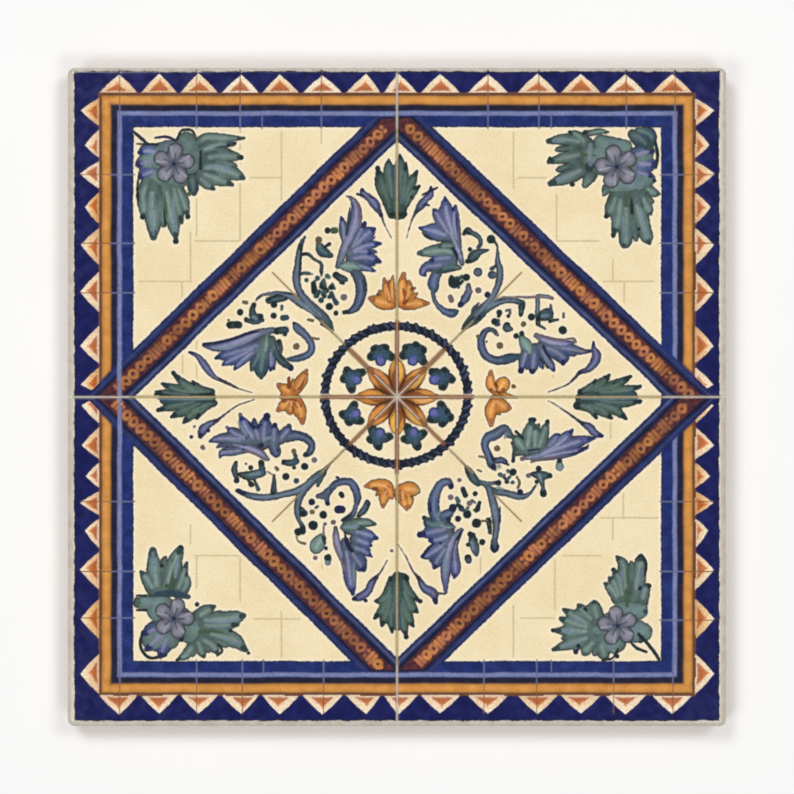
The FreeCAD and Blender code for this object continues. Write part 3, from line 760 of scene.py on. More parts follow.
ACANTHUS_RIGHT_UPPER = {
    "vein": [[(31.6, 14, 0.5), (33.6, 13, 0.9), (36, 12.3, 1), (38.2, 12.1, 0.9), (40, 12.3, 0.6)]],
    "blue": [
        [(33, 11.6, 1), (35.6, 10.6, 1.3), (37.6, 9.2, 1.2), (37.9, 7.8, 0.6)],
        [(36, 11.4, 1), (39.4, 10.9, 1), (42, 10.4, 0.6), (44, 10.3, 0.4)],
        [(32.4, 11.4, 0.9), (33.6, 9.4, 0.8), (35, 7.3, 0.7), (35.7, 6.1, 0.6)],
        [(31.3, 11, 1), (31.1, 8.5, 1.1), (30.9, 6.8, 0.9), (30.8, 5.9, 0.7)],
        [(29.5, 10.5, 1), (28.7, 8, 0.85), (28.2, 6, 0.65)],
    ],
    "sage": [[(28.4, 13.4, 0.7), (29.5, 11.5, 1.3), (30.6, 9.4, 1)]],
    "curl": [
        [(22.8, 14.2, 0.4), (22, 15.1, 0.5), (20.4, 15.2, 0.6), (19.3, 13.5, 0.75), (19.2, 11.6, 0.85),
         (19.9, 9.9, 0.85), (21.3, 8.7, 0.85), (23.3, 8.3, 0.9), (25.5, 8.8, 1), (27.8, 9.2, 1)],
    ],
    "scroll": [
        [(19.6, 19.6, 1), (21.2, 20.7, 1), (22.8, 21.5, 0.85), (25, 22, 0.75), (27, 21.9, 0.7),
         (28.4, 21.4, 0.75)], [(32, 22.9, 0.55), (32, 20.5, 0.55), (31.9, 18.4, 0.6)],
        [(32, 23, 0.5), (34, 22.9, 0.45), (35.4, 22.4, 0.4)], [(34.9, 21, 0.3), (35.2, 18.8, 0.5)],
    ],
    "trunk": [
        [(14.8, 15.3, 0.2), (16, 16.3, 0.8), (17.8, 17.9, 1.25), (19.2, 19.2, 1.2)],
        [(28.4, 21.2, 0.8), (28.3, 19.8, 0.7), (28.2, 18.7, 0.5)], [(32.5, 18.4, 1.1), (34.2, 18.8, 1.5)],
        [(32, 17.4, 0.6), (32.4, 16.4, 0.45), (33.7, 15.5, 0.3)], [(34.8, 17.3, 0.5), (36.6, 17.6, 0.3)],
        [(25, 16.4, 0.7), (25, 15.7, 1), (26, 15.4, 0.5)],
    ],
    "night": [
        [(30.6, 18.2, 0.7)], [(28.4, 20.4, 0.6)], [(28.2, 18.7, 0.4)], [(22.2, 17.2, 0.65)],
        [(23.3, 19.2, 0.6)], [(37.7, 15.2, 0.8)], [(27.1, 13.9, 0.55)], [(28.4, 14.5, 0.5)],
        [(32.1, 16.6, 0.45)], [(32.6, 8.6, 0.25), (34.4, 6.6, 0.3)],
        [(21.4, 21.3, 0.3), (23.4, 22, 0.35), (26, 22.1, 0.3)],
        [(15.6, 16.2, 0.4), (17, 17.2, 0.45), (18.8, 18.2, 0.35)],
    ],
    "ink": [
        [(30.8, 5.9, 0.6)], [(28.2, 6, 0.6)], [(37.8, 7.7, 0.5)], [(20.8, 15.2, 0.4), (19.8, 14.8, 0.35)],
        [(20.4, 12.6, 0.25)], [(33.2, 11.8, 0.2), (34, 10, 0.35), (35, 8.6, 0.2)],
    ],
    "mauve": [
        [(24, 22.7, 0.25), (27, 22.8, 0.25), (30, 22.7, 0.35), (33, 22.8, 0.3), (35.3, 22.4, 0.35)],
        [(25.7, 19.8, 0.35), (25.7, 19, 0.4)], [(37.9, 19, 0.35), (37.9, 18.2, 0.4)],
        [(31.6, 14.5, 0.2), (34, 13.3, 0.25), (37, 13, 0.25), (40, 13.3, 0.3), (40.6, 12.6, 0.4)],
        [(22.8, 14.1, 0.3)],
    ],
    "olive": [[(23.4, 11.7, 0.65)], [(28.8, 16.6, 0.55)], [(18.4, 13.8, 0.4)]],
    "mist": [
        [(20.6, 20.2, 0.15), (22, 21.8, 0.35), (23.4, 22.6, 0.15)], [(33, 18.4, 0.3), (34.4, 18.6, 0.3)],
        [(33, 10, 0.15), (34.2, 8, 0.3), (35.2, 6.8, 0.25)],
    ],
}
ACANTHUS_BOTTOM_LEFT = {
    "vein": [[(-14, -29.8, 0.45), (-13.7, -32.8, 0.75), (-12.8, -35.8, 0.75), (-12.1, -37.6, 0.35)]],
    "violet": [
        [(-11.8, -33, 0.8), (-11.4, -36, 1.1), (-10.9, -39, 1.2), (-10.6, -42, 1.05), (-10, -44.8, 0.7)],
    ],
    "blue": [
        [(-9.8, -30.4, 1.1), (-6.8, -31.3, 1), (-4.6, -32.2, 0.65)],
        [(-9.4, -32.4, 1.1), (-7.2, -33.2, 0.9), (-5.8, -33.8, 0.4)],
        [(-9.8, -34.2, 1.1), (-7.6, -35, 0.9), (-5.8, -36.3, 0.4)],
        [(-10.4, -35, 1.2), (-8.8, -37.6, 1.4), (-7.6, -39.3, 0.9)],
    ],
    "green": [
        [(-9.4, -28.8, 1), (-7, -28.6, 0.8), (-5, -28.9, 0.6)],
        [(-12.4, -29.6, 0.5), (-10.4, -29.6, 1.4), (-8, -29.8, 1)],
    ],
    "curl": [
        [(-18, -22.6, 0.5), (-16.4, -22.3, 0.85), (-15.2, -21, 0.75), (-13.8, -19.7, 0.75),
         (-12, -19.2, 0.75), (-10.4, -19.6, 0.85), (-9.4, -21.2, 0.85), (-9, -23, 0.8), (-9.3, -24.6, 0.5),
         (-10, -26.6, 0.6), (-11.3, -27.6, 0.6), (-12.5, -28, 0.45)],
        [(-16.2, -22.6, 0.7), (-15.7, -24.4, 0.6)],
        [(-8.8, -27, 0.45), (-7.4, -25.6, 0.75), (-6.8, -24, 0.95)],
    ],
    "scroll": [
        [(-15, -15.2, 0.15), (-16.4, -16.6, 0.6), (-18.2, -18.2, 0.85), (-20.2, -20, 1), (-21.7, -21.8, 1),
         (-22.5, -24, 0.85), (-22.6, -26.2, 0.85), (-22.3, -28, 0.5), (-21.5, -29.4, 0.6),
         (-21.5, -30.8, 0.6)],
    ],
    "trunk": [
        [(-15.8, -15.7, 0.3), (-17, -17.6, 0.8), (-17.8, -19.3, 0.6), (-18, -20.2, 0.35)],
        [(-22.2, -25.6, 0.9), (-21.2, -26.4, 0.9)],
    ],
    "sage": [
        [(-17.2, -32.2, 1), (-18.2, -33.8, 1.5), (-18.6, -35.2, 0.8)],
        [(-15.7, -36.8, 0.8), (-15.7, -37.7, 0.95)],
    ],
    "night": [
        [(-21.4, -26.6, 0.6)], [(-22.5, -30.7, 0.75)], [(-21.4, -29.8, 0.6), (-21.2, -30.6, 0.5)],
        [(-16.8, -26.8, 0.75)], [(-19.1, -29.2, 0.9)], [(-12.7, -22.1, 0.65), (-12.5, -22.5, 0.6)],
        [(-10.6, -27, 0.3), (-12.2, -28, 0.45)], [(-8.6, -27, 0.4), (-7, -25.4, 0.35), (-6.3, -24.4, 0.35)],
        [(-15.7, -36.5, 0.65)], [(-16.8, -31.9, 0.4), (-16.4, -33.2, 0.35)], [(-16.2, -34.4, 0.4)],
        [(-9.2, -22, 0.3), (-9, -24, 0.35)],
    ],
    "ink": [
        [(-19.4, -23.9, 0.65)], [(-13.4, -25.6, 0.95), (-12.6, -25.6, 0.95)], [(-15.8, -24.2, 0.45)],
        [(-12, -30.6, 0.2), (-11.3, -33.4, 0.5), (-9.6, -36, 0.4), (-8.6, -38.4, 0.4)],
        [(-13.4, -18.4, 0.35), (-13.8, -18.2, 0.3)],
        [(-15, -20.9, 0.3), (-13.8, -19.5, 0.3), (-11.6, -18.8, 0.25)],
    ],
    "mauve": [
        [(-14.6, -31.5, 0.2), (-14.2, -34, 0.25), (-12.9, -36.8, 0.3), (-12, -39.4, 0.25)],
        [(-14.5, -28.5, 0.5)], [(-18.6, -36.6, 0.45)], [(-16.7, -29.4, 0.25), (-16.7, -31.4, 0.3)],
        [(-1.2, -35, 0.35)],
    ],
    "olive": [[(-19.3, -26.2, 0.5)], [(-22.9, -31.6, 0.25), (-22.5, -32.8, 0.25), (-21, -33.4, 0.4)]],
    "mist": [
        [(-11.8, -29.6, 0.3), (-9, -29.4, 0.4)], [(-9.9, -38, 0.2), (-9.8, -40.6, 0.4), (-9.8, -43, 0.2)],
        [(-15.9, -37.8, 0.4), (-15.5, -37.9, 0.35)],
    ],
}
ACANTHUS_BOTTOM_RIGHT = {
    "vein": [
        [(14.6, -30.2, 0.45), (12.9, -32, 0.8), (11.8, -34.5, 1), (11.2, -38, 1.15), (11, -41, 0.9),
         (11.1, -44.4, 0.6)],
    ],
    "violet": [
        [(14.4, -30.8, 0.4), (13.4, -33.4, 0.5), (13, -36, 0.85), (13.3, -39, 1), (13, -41.2, 0.45)],
    ],
    "blue": [
        [(11.5, -30, 1.3), (8.5, -30.6, 1.4), (5.3, -31.4, 0.7)],
        [(12, -31.4, 1), (9.6, -32.4, 1.2), (7.4, -32.6, 0.6)],
        [(11.8, -32.6, 0.9), (9.2, -34.6, 1.2), (7, -36, 0.8), (5.7, -36.4, 0.5)],
        [(11.4, -34, 1), (9.4, -36.8, 1.2), (8.5, -38.9, 0.6)],
    ],
    "teal": [[(10, -29, 1.2), (7.8, -29, 1.2), (6.3, -27.6, 0.7)]],
    "sage": [[(13, -29.6, 0.4), (11, -29.6, 0.8), (9.4, -28.6, 0.9)]],
    "curl": [
        [(12.3, -20.4, 0.55), (11.6, -19.3, 0.8), (10, -19.8, 0.9), (9, -21.5, 1), (8.3, -24, 1.2),
         (8.6, -26.5, 1.2), (9.8, -28.2, 1), (11.6, -28, 0.9)],
        [(10.4, -27, 0.9), (11.6, -26.6, 1), (12.8, -26, 0.7)],
    ],
    "scroll": [
        [(19, -19.4, 0.5), (20.6, -20.4, 0.7), (21.3, -22, 0.9), (22, -24.5, 1), (22.5, -27, 1.05),
         (22.6, -30, 0.8), (22.2, -32.5, 0.75), (22.2, -34.3, 1.1)],
        [(18.4, -19.2, 0.5), (20.8, -19.7, 0.5), (22.8, -19.5, 0.45)],
    ],
    "trunk": [
        [(15.5, -15.5, 0.25), (16.4, -17, 0.9), (17.6, -18.8, 1), (18.6, -20, 0.45)],
        [(20.8, -28, 0.7), (21.2, -30.8, 0.5)],
        [(17, -31.6, 0.8), (17.4, -33, 1.1), (17.8, -34.6, 1), (18, -35.8, 0.55)],
        [(16.1, -36.6, 0.85), (16.3, -37.2, 0.8)],
    ],
    "night": [
        [(15, -21, 0.65), (15.6, -22.4, 0.65)], [(17.8, -22, 0.5)],
        [(18.8, -24, 0.45), (18.3, -25.6, 0.65)], [(16, -26.7, 0.8)], [(18.1, -28.7, 0.9)],
        [(13.9, -27.7, 0.6)], [(16.6, -31.2, 0.65), (17.4, -31.4, 0.5)], [(16.2, -33.6, 0.45)],
        [(19.4, -33, 0.6)], [(23.1, -19.5, 0.55)], [(6.2, -27.5, 0.45)], [(11.8, -27.8, 0.45)],
        [(21, -29.6, 0.3)], [(15.8, -16, 0.4), (16.2, -17.6, 0.3)],
    ],
    "ink": [
        [(12.7, -25.2, 0.75)], [(12.3, -20.3, 0.5)],
        [(8.2, -33.4, 0.3), (7, -34.6, 0.35), (5.8, -36.2, 0.45)], [(5.2, -31.3, 0.6)],
        [(15, -30.2, 0.25), (13.4, -33, 0.3), (12.7, -37, 0.3)],
        [(21.5, -33.8, 0.3), (22.2, -35.2, 0.35), (23, -34, 0.3)], [(7.6, -24, 0.25), (7.6, -26, 0.3)],
        [(23.4, -25, 0.2), (23.5, -28.4, 0.25)], [(9.8, -33.2, 0.3), (10.8, -33.8, 0.25)],
    ],
    "mauve": [[(16.5, -24.2, 0.55)], [(12.2, -22.8, 0.55)], [(14.2, -18.9, 0.45)], [(9.2, -22.2, 0.35)]],
    "olive": [[(19, -28.2, 0.25), (20.5, -28.2, 0.3)], [(18.4, -16.6, 0.25), (19.2, -17, 0.25)]],
    "mist": [
        [(9.8, -26, 0.2), (9.2, -27.6, 0.35), (10.2, -29, 0.25)],
        [(11.4, -35.4, 0.3), (11, -38.6, 0.5), (10.9, -41, 0.3)], [(17, -33, 0.3), (17.4, -34.6, 0.3)],
        [(22, -24.8, 0.3), (22.4, -27.6, 0.35)],
    ],
}
ACANTHUS_LEFT_LOWER = {
    "vein": [
        [(-29.4, -14.2, 0.45), (-31, -12.9, 0.8), (-33.5, -11.8, 0.85), (-36.5, -11, 0.7),
         (-39, -10.6, 0.45)],
    ],
    "violet": [
        [(-34, -9.8, 1.1), (-37, -8.2, 1), (-38.6, -7.1, 0.4)],
        [(-33.4, -10, 1.2), (-38, -9.5, 1.2), (-41, -9.6, 0.7), (-42.8, -10.2, 0.3)],
        [(-34, -12, 0.5), (-37, -12.3, 0.85), (-39.6, -12.6, 0.7), (-40.3, -13.8, 0.3)],
    ],
    "blue": [
        [(-28, -10.4, 1.2), (-28, -8, 1), (-27.9, -6.5, 0.65)],
        [(-30.5, -10.4, 1.3), (-30.2, -7, 1.25), (-29.6, -4.5, 0.8)],
        [(-32.5, -9.8, 1.2), (-34.3, -7, 1.2), (-35.6, -4.4, 0.6)],
        [(-26.6, -9.6, 1), (-25.2, -8, 1), (-24.4, -6.7, 0.65)],
        [(-31.4, -9.8, 1.2), (-32, -8, 1.1), (-32.2, -6.9, 0.6)],
    ],
    "curl": [
        [(-27.5, -9.4, 1), (-25, -9, 1.2), (-22.5, -8.8, 1), (-20.5, -9.5, 0.9), (-19.4, -11, 0.8),
         (-19.9, -12.6, 0.7), (-21, -13.3, 0.5)],
        [(-28.4, -10.4, 1.2), (-27.6, -12.4, 1.1), (-27.4, -13.2, 0.8)],
    ],
    "scroll": [
        [(-17, -16.8, 0.5), (-18.6, -18, 0.7), (-20.4, -19.8, 0.8), (-22.5, -21.3, 0.9),
         (-25.5, -22.1, 0.8), (-28.5, -22.7, 0.85), (-31.5, -22.8, 0.85), (-34, -22.3, 0.75),
         (-36.4, -21.3, 0.5)],
    ],
    "trunk": [
        [(-28, -17.9, 0.35), (-28, -20.2, 0.65), (-28.1, -22.3, 0.85)],
        [(-36.6, -14.9, 0.45), (-37, -16.6, 0.75), (-36.4, -19, 0.5)],
        [(-36, -17.6, 0.5), (-33.5, -17.9, 1.15), (-30.7, -17.2, 1)],
        [(-34, -18.6, 0.4), (-33.1, -20, 0.55)], [(-31, -14.9, 0.65), (-30.6, -16.5, 0.75)],
        [(-32.4, -19, 0.4), (-31.6, -21, 0.5)], [(-25.8, -14.9, 0.6), (-24.2, -15, 0.8), (-23, -14.6, 0.8)],
        [(-23.4, -12.6, 0.4), (-23, -13.8, 0.5)],
    ],
    "night": [
        [(-36.5, -19, 0.55)], [(-33.3, -16.1, 0.5)], [(-33.2, -19.9, 0.5)], [(-30.8, -15, 0.5)],
        [(-25.3, -18.1, 0.7)], [(-21, -15.8, 0.7)], [(-27.4, -12.2, 0.4)],
        [(-28, -19, 0.3), (-28.2, -21.8, 0.4)], [(-25.7, -14.8, 0.5)], [(-20.8, -13.1, 0.5)],
        [(-23.4, -16.1, 0.4)],
    ],
    "ink": [
        [(-29.6, -4.4, 0.7)], [(-27.8, -6.4, 0.5)], [(-30.9, -11, 0.5)],
        [(-36.2, -21.3, 0.5), (-34.6, -22, 0.4)],
        [(-33.8, -5.8, 0.2), (-32.2, -7.2, 0.35), (-30.8, -6.2, 0.2)],
        [(-39.4, -12.2, 0.3), (-37, -12.2, 0.3), (-34.4, -11.9, 0.2)],
        [(-33.6, -8.6, 0.3), (-34.4, -9.4, 0.3)],
    ],
    "shade": [[(-24.6, -6.6, 0.5)], [(-22.9, -19.1, 0.55)], [(-19.6, -9.6, 0.3), (-22.6, -8, 0.3)]],
    "mauve": [
        [(-30, -14.3, 0.2), (-32.4, -12.9, 0.25), (-34.6, -12, 0.2)], [(-35.7, -4, 0.4)],
        [(-38.7, -6.9, 0.35)], [(-18.8, -14.3, 0.55)],
    ],
    "olive": [
        [(-27.5, -16.1, 0.45), (-27.2, -16.5, 0.45)], [(-29.4, -17, 0.2), (-28.3, -17.7, 0.25)],
        [(-23.5, -12.3, 0.5)], [(-44.3, -11.4, 0.45)],
    ],
    "mist": [
        [(-30.4, -9.6, 0.4), (-28.8, -9.2, 0.4)], [(-36.2, -5.6, 0.2), (-35, -7.6, 0.3), (-34, -9, 0.15)],
        [(-33.6, -17.8, 0.3), (-31.4, -17.3, 0.45)], [(-38.6, -9.6, 0.2), (-36, -9.9, 0.4)],
    ],
}
ACANTHUS_RIGHT_LOWER = {
    "vein": [[(28.4, -13.9, 0.3), (31, -13.6, 0.65), (34, -12.9, 0.75), (36.6, -11.6, 0.6)]],
    "violet": [
        [(31, -13.6, 0.7), (35, -12, 1.1), (38, -9.6, 1.1), (39.9, -7.5, 0.5)],
        [(31, -13.8, 0.7), (36, -12, 1.2), (40.4, -10.4, 1.2), (44.8, -9.3, 0.6)],
        [(31, -14, 0.6), (36, -13.1, 0.9), (40, -12.4, 0.8), (43.4, -11.6, 0.4)],
    ],
    "blue": [[(34, -11.6, 0.7), (36, -9.6, 0.9), (36.8, -8.6, 0.6)]],
    "green": [
        [(29.6, -12, 1.2), (30, -8.4, 1.2), (30.8, -5.3, 0.85)],
        [(32, -12, 1.2), (33.2, -8.8, 1.1), (34.3, -5.4, 0.45)],
        [(29, -12, 1), (27.8, -10.4, 1.1), (26.4, -8.8, 0.6)],
        [(31.4, -12, 1), (31.4, -9, 1.2), (31.6, -6.6, 0.8)],
    ],
    "teal": [[(27, -12.6, 0.6), (30, -12.6, 0.7), (32.6, -12.2, 0.7), (34.6, -10.9, 0.4)]],
    "curl": [
        [(25.6, -8.6, 0.8), (24.4, -7.2, 0.9), (22.5, -8.5, 1.15), (20.7, -9.2, 1), (20, -11, 0.85),
         (20.8, -13.2, 0.8), (21.4, -15.2, 0.8), (22.4, -16.6, 0.5)],
        [(22.6, -14.5, 0.7), (24, -14.4, 0.65), (25.3, -15.4, 0.4)],
    ],
    "scroll": [
        [(20.2, -20.2, 0.5), (22.5, -21.5, 0.8), (25, -21.9, 0.8), (27.5, -22.6, 0.85), (29.3, -22.5, 0.6),
         (30.5, -21.6, 0.4), (31.5, -20.2, 0.3)],
    ],
    "trunk": [
        [(30.6, -17.6, 0.4), (32.6, -17.8, 1.1), (34.7, -17.9, 0.65)],
        [(32.8, -18.8, 0.8), (33.2, -20.4, 0.5), (33.3, -21.9, 0.8)], [(32.3, -16.4, 0.55)],
        [(26.2, -10.4, 0.35), (26.7, -12.4, 0.45), (26.4, -14.6, 0.45)],
    ],
    "sage": [[(37, -14.6, 0.5), (37, -15.9, 1.4)]],
    "night": [
        [(32.2, -16.2, 0.5)], [(34.8, -17.9, 0.5)], [(31.8, -19.3, 0.45)], [(33.3, -22, 0.65)],
        [(37, -14.5, 0.5)], [(26.4, -17.1, 0.7)], [(30.9, -17.5, 0.4)],
        [(26.7, -12, 0.3), (26.4, -14.4, 0.4)], [(27.1, -7.9, 0.4), (28.7, -9.4, 0.3)],
        [(30.4, -5.2, 0.6), (31.2, -5.2, 0.6)], [(34.2, -5.6, 0.45)], [(23.1, -19.6, 0.55)],
    ],
    "ink": [
        [(21.9, -15.9, 0.55)], [(24.6, -14.8, 0.5)], [(34.4, -11, 0.3), (36.4, -9.4, 0.25)],
        [(30, -12.4, 0.5), (32.4, -12.2, 0.5)], [(37, -13.1, 0.2), (40.8, -12.6, 0.3), (43.6, -11, 0.2)],
        [(28, -21.6, 0.6)], [(21.2, -13, 0.3), (22.2, -14.2, 0.3)],
    ],
    "mauve": [
        [(30.4, -14.9, 0.2), (33, -14, 0.25), (36.4, -13.6, 0.25)], [(29.9, -17.9, 0.5)],
        [(28.5, -14.1, 0.45)], [(24.5, -17.6, 0.25), (24.5, -18.8, 0.25)],
    ],
    "olive": [
        [(22.8, -11.7, 0.6)], [(27.3, -18.2, 0.3), (27.9, -19.5, 0.35), (27.5, -20.7, 0.3)],
        [(18.7, -13.5, 0.3), (20, -13.7, 0.3)],
    ],
    "mist": [
        [(24.8, -8.4, 0.4), (24.6, -9.2, 0.3)], [(37, -16, 0.55)], [(36, -11, 0.15), (37.8, -9, 0.35)],
        [(32.4, -17.8, 0.4), (33, -19.4, 0.25)], [(23.2, -15.8, 0.45)],
        [(22.9, -20.6, 0.4), (24, -21, 0.3)],
    ],
}
PALMETTES = {
    "dusky": [
        [(0.2, 41.6, 1.4), (0, 45, 2.1), (-0.2, 49, 2.5), (-0.2, 51, 2)],
        [(0.2, -41.2, 1.5), (0, -45, 2), (0, -49, 2.4), (0, -51.4, 1.8)],
        [(-42.4, 0, 1.2), (-46, -0.2, 2.1), (-50, -0.2, 2.4), (-52.4, -0.2, 1.8)],
        [(41.8, -0.4, 1.3), (46, -0.2, 2.2), (50, -0.2, 2.5), (53, 0, 1.8)],
    ],
    "palm": [
        [(-1.2, 41.4, 0.8), (-2.2, 45, 1.2), (-3.4, 48.5, 1.4), (-4.4, 51.8, 0.6)],
        [(-0.9, 43, 0.9), (-1.4, 48, 1.4), (-1.9, 52, 1), (-1.9, 54, 0.4)],
        [(1.2, 41.4, 0.8), (0.9, 47, 1.3), (0.9, 52, 1.1), (0.65, 55.2, 0.4)],
        [(1.4, 43, 0.8), (1.6, 48, 1.2), (2, 53.2, 0.5)],
        [(1.4, 44, 0.8), (2.8, 48, 1.2), (4.6, 51.4, 0.5)], [(1.6, 43, 0.6), (3, 46, 1), (5.1, 48, 0.5)],
        [(-1.3, -41.4, 0.7), (-2, -45, 1.2), (-3.4, -46.2, 0.9), (-4.9, -46.5, 0.5)],
        [(-1.2, -43, 0.8), (-2.6, -47.6, 1.2), (-5.1, -50.3, 0.6)],
        [(-1, -44, 0.9), (-2.4, -49, 1.3), (-3.4, -52, 0.6)],
        [(-0.8, -46, 0.8), (-1.3, -50, 1.1), (-1.1, -53.6, 0.5)],
        [(1.4, -41, 0.9), (2.2, -44, 1.1), (5.2, -46.5, 0.5)],
        [(1.2, -43, 0.9), (3, -47.4, 1.2), (4.6, -48.9, 0.6)],
        [(1, -45, 0.9), (2.2, -49.6, 1.2), (3.8, -52.2, 0.5)],
        [(0.8, -46, 0.8), (1.3, -51, 1.1), (2.1, -54.4, 0.5)],
        [(-42, 1.2, 0.6), (-44.8, 1.6, 1), (-46.5, 3.5, 0.5)],
        [(-43, 1, 0.8), (-47, 1.8, 1.2), (-50.8, 5.3, 0.6)],
        [(-44, 0.9, 0.8), (-49, 1.4, 1.2), (-53.4, 3, 0.6)],
        [(-46, 0.4, 0.8), (-51, 0.8, 0.9), (-54.9, 1.2, 0.5)],
        [(-41.6, -1.4, 0.7), (-43.6, -2, 1), (-45.6, -4.8, 0.6)],
        [(-43, -1.4, 0.9), (-46, -3.2, 1.3), (-48.5, -5.8, 0.6)],
        [(-44, -1.2, 0.9), (-48, -2.8, 1.3), (-51.3, -4.5, 0.6)],
        [(-45, -1, 0.9), (-50, -1.8, 1.1), (-54.4, -3, 0.7)],
        [(41.8, 1.1, 0.7), (43.6, 1.8, 0.9), (45.2, 3.8, 0.5)],
        [(43, 1.2, 0.8), (46, 2.6, 1.2), (48.3, 5, 0.6)],
        [(44, 1.2, 0.9), (49, 2.4, 1.2), (53.2, 4.7, 0.6)],
        [(45, 1, 0.9), (51, 1.4, 1.1), (55.4, 2.4, 0.6)],
        [(41.2, -1.9, 0.9), (43.8, -2.4, 1), (45.3, -4.7, 0.6)],
        [(43, -1.6, 0.9), (46.6, -3, 1.2), (48.8, -4.8, 0.6)],
        [(44, -1.2, 0.9), (49, -2.6, 1.2), (52.1, -4.9, 0.6)],
        [(45, -0.8, 0.9), (51, -1.2, 1.1), (55.4, -1, 0.7)],
    ],
    "night": [
        [(-1.4, 41.5, 0.5), (-0.9, 41.6, 0.5)], [(0.9, 41.6, 0.6), (1.8, 41.6, 0.6)], [(-4.4, 52.1, 0.5)],
        [(4.1, 47.4, 0.45)], [(3.1, 45.6, 0.45)], [(2.1, -41.2, 0.6)], [(-1.5, -41.5, 0.45)],
        [(5.3, -46.5, 0.45)], [(2.1, -54.6, 0.5)], [(-55, 0.6, 0.35), (-48, 0.7, 0.3), (-42, 0.6, 0.35)],
        [(-50.9, 5.5, 0.45)], [(-44.8, -2.3, 0.5)], [(41, -2, 0.75)], [(41.8, 1.1, 0.6)],
        [(49.2, 3, 0.3), (50.6, 3.2, 0.3)],
    ],
    "moss": [
        [(1.3, 48, 0.3), (1.3, 50.4, 0.35)], [(-1.5, 45.8, 0.3), (-1.3, 47.6, 0.3)], [(-46.8, -3.7, 0.5)],
        [(-50.8, 1.9, 0.35), (-48.6, 1.8, 0.35)], [(46, 1.6, 0.3), (49, 1.2, 0.35)],
        [(-2.6, -48.6, 0.35), (-2.2, -46.6, 0.3)],
    ],
    "mist": [
        [(-0.2, 42.2, 0.2), (-0.2, 48, 0.3), (-0.2, 53.6, 0.2)],
        [(-0.2, -42, 0.2), (-0.2, -48, 0.3), (0, -52.4, 0.2)],
        [(-42, -0.4, 0.2), (-48, -0.4, 0.3), (-54.4, -0.4, 0.2)],
        [(42, -0.3, 0.2), (48, -0.3, 0.3), (55, -0.3, 0.2)],
    ],
}
BUDS = {
    "bud": [
        [(-3.6, 41.4, 0.4), (-5, 43.8, 1.1), (-6.2, 45.2, 0.9), (-7.6, 46.2, 0.8), (-8, 47.2, 0.4)],
        [(4.2, 42, 0.45), (5.6, 43.8, 1), (6.6, 45.1, 0.85), (7.6, 46, 0.8), (7.7, 47.8, 0.35)],
        [(-36.2, 2, 0.25), (-40.7, 4.1, 0.45), (-42.2, 5.2, 0.7), (-43.6, 7, 0.95), (-45.3, 9.2, 0.6),
         (-47.2, 10.2, 0.4)], [(-41, -5.4, 0.5), (-43.1, -6.4, 0.9), (-44.2, -7.6, 1.1), (-44.8, -9, 0.55)],
        [(41.6, 5.6, 0.5), (43.6, 6.4, 0.8), (45, 8, 1.1), (45.4, 9.6, 1.1), (44.8, 11, 0.6),
         (44.7, 12.5, 0.3)], [(42.2, -6, 0.5), (43.8, -6.9, 1), (45, -8.2, 0.9), (46.6, -8.9, 0.5)],
        [(-4.7, -41, 0.5), (-5.8, -42.4, 0.9), (-6.6, -44.2, 0.9), (-8.4, -45.5, 1), (-9.9, -45.9, 0.45)],
        [(4.9, -41.2, 0.5), (6.2, -43.4, 0.95), (8.2, -44.6, 1.1), (8.8, -46.6, 0.5)],
    ],
    "stem": [
        [(-1.3, 36.2, 0.15), (-2.8, 39.2, 0.2), (-3.6, 41.4, 0.35)],
        [(2.2, 36.2, 0.15), (2.9, 38.8, 0.2), (3.7, 41, 0.3), (4.4, 42.2, 0.4)],
        [(-33, 1, 0.15), (-36.2, 2, 0.2), (-38, 3, 0.25), (-40.7, 4.1, 0.35)],
        [(-32.5, -0.6, 0.15), (-36.2, -1.9, 0.2), (-38.8, -3.7, 0.25), (-41, -5.4, 0.4)],
        [(34.4, 1.1, 0.15), (36, 1.7, 0.2), (39, 3, 0.25), (41.6, 5.6, 0.45)],
        [(34.4, -0.9, 0.15), (36, -1.7, 0.2), (38.2, -3.2, 0.25), (42.2, -6, 0.4)],
        [(-2.2, -37.1, 0.15), (-3.5, -39.5, 0.25), (-4.7, -41, 0.4)],
        [(0.2, -33.5, 0.12), (2.2, -36.7, 0.2), (3.5, -39.4, 0.25), (4.9, -41.2, 0.4)],
        [(40.1, 10.5, 0.4), (44, 10.5, 0.4)], [(8.4, -44.6, 0.3), (10.8, -44.8, 0.3)],
    ],
    "ink": [
        [(-9, 46.2, 0.35), (-5.8, 45.3, 0.35)], [(5.8, 46, 0.3), (9.1, 47.6, 0.3)],
        [(5.8, 43.8, 0.3), (7.3, 43.6, 0.3)], [(-42.9, -7.7, 0.35)], [(-7.1, -46.3, 0.4)],
        [(8.8, -46.8, 0.4)], [(-3.7, 41.3, 0.35)], [(41.6, 5.6, 0.4)], [(-46.8, -9.1, 0.4)],
    ],
    "mauve": [[(-44.1, -11.6, 0.4)], [(-46.1, -6.7, 0.3)]],
}
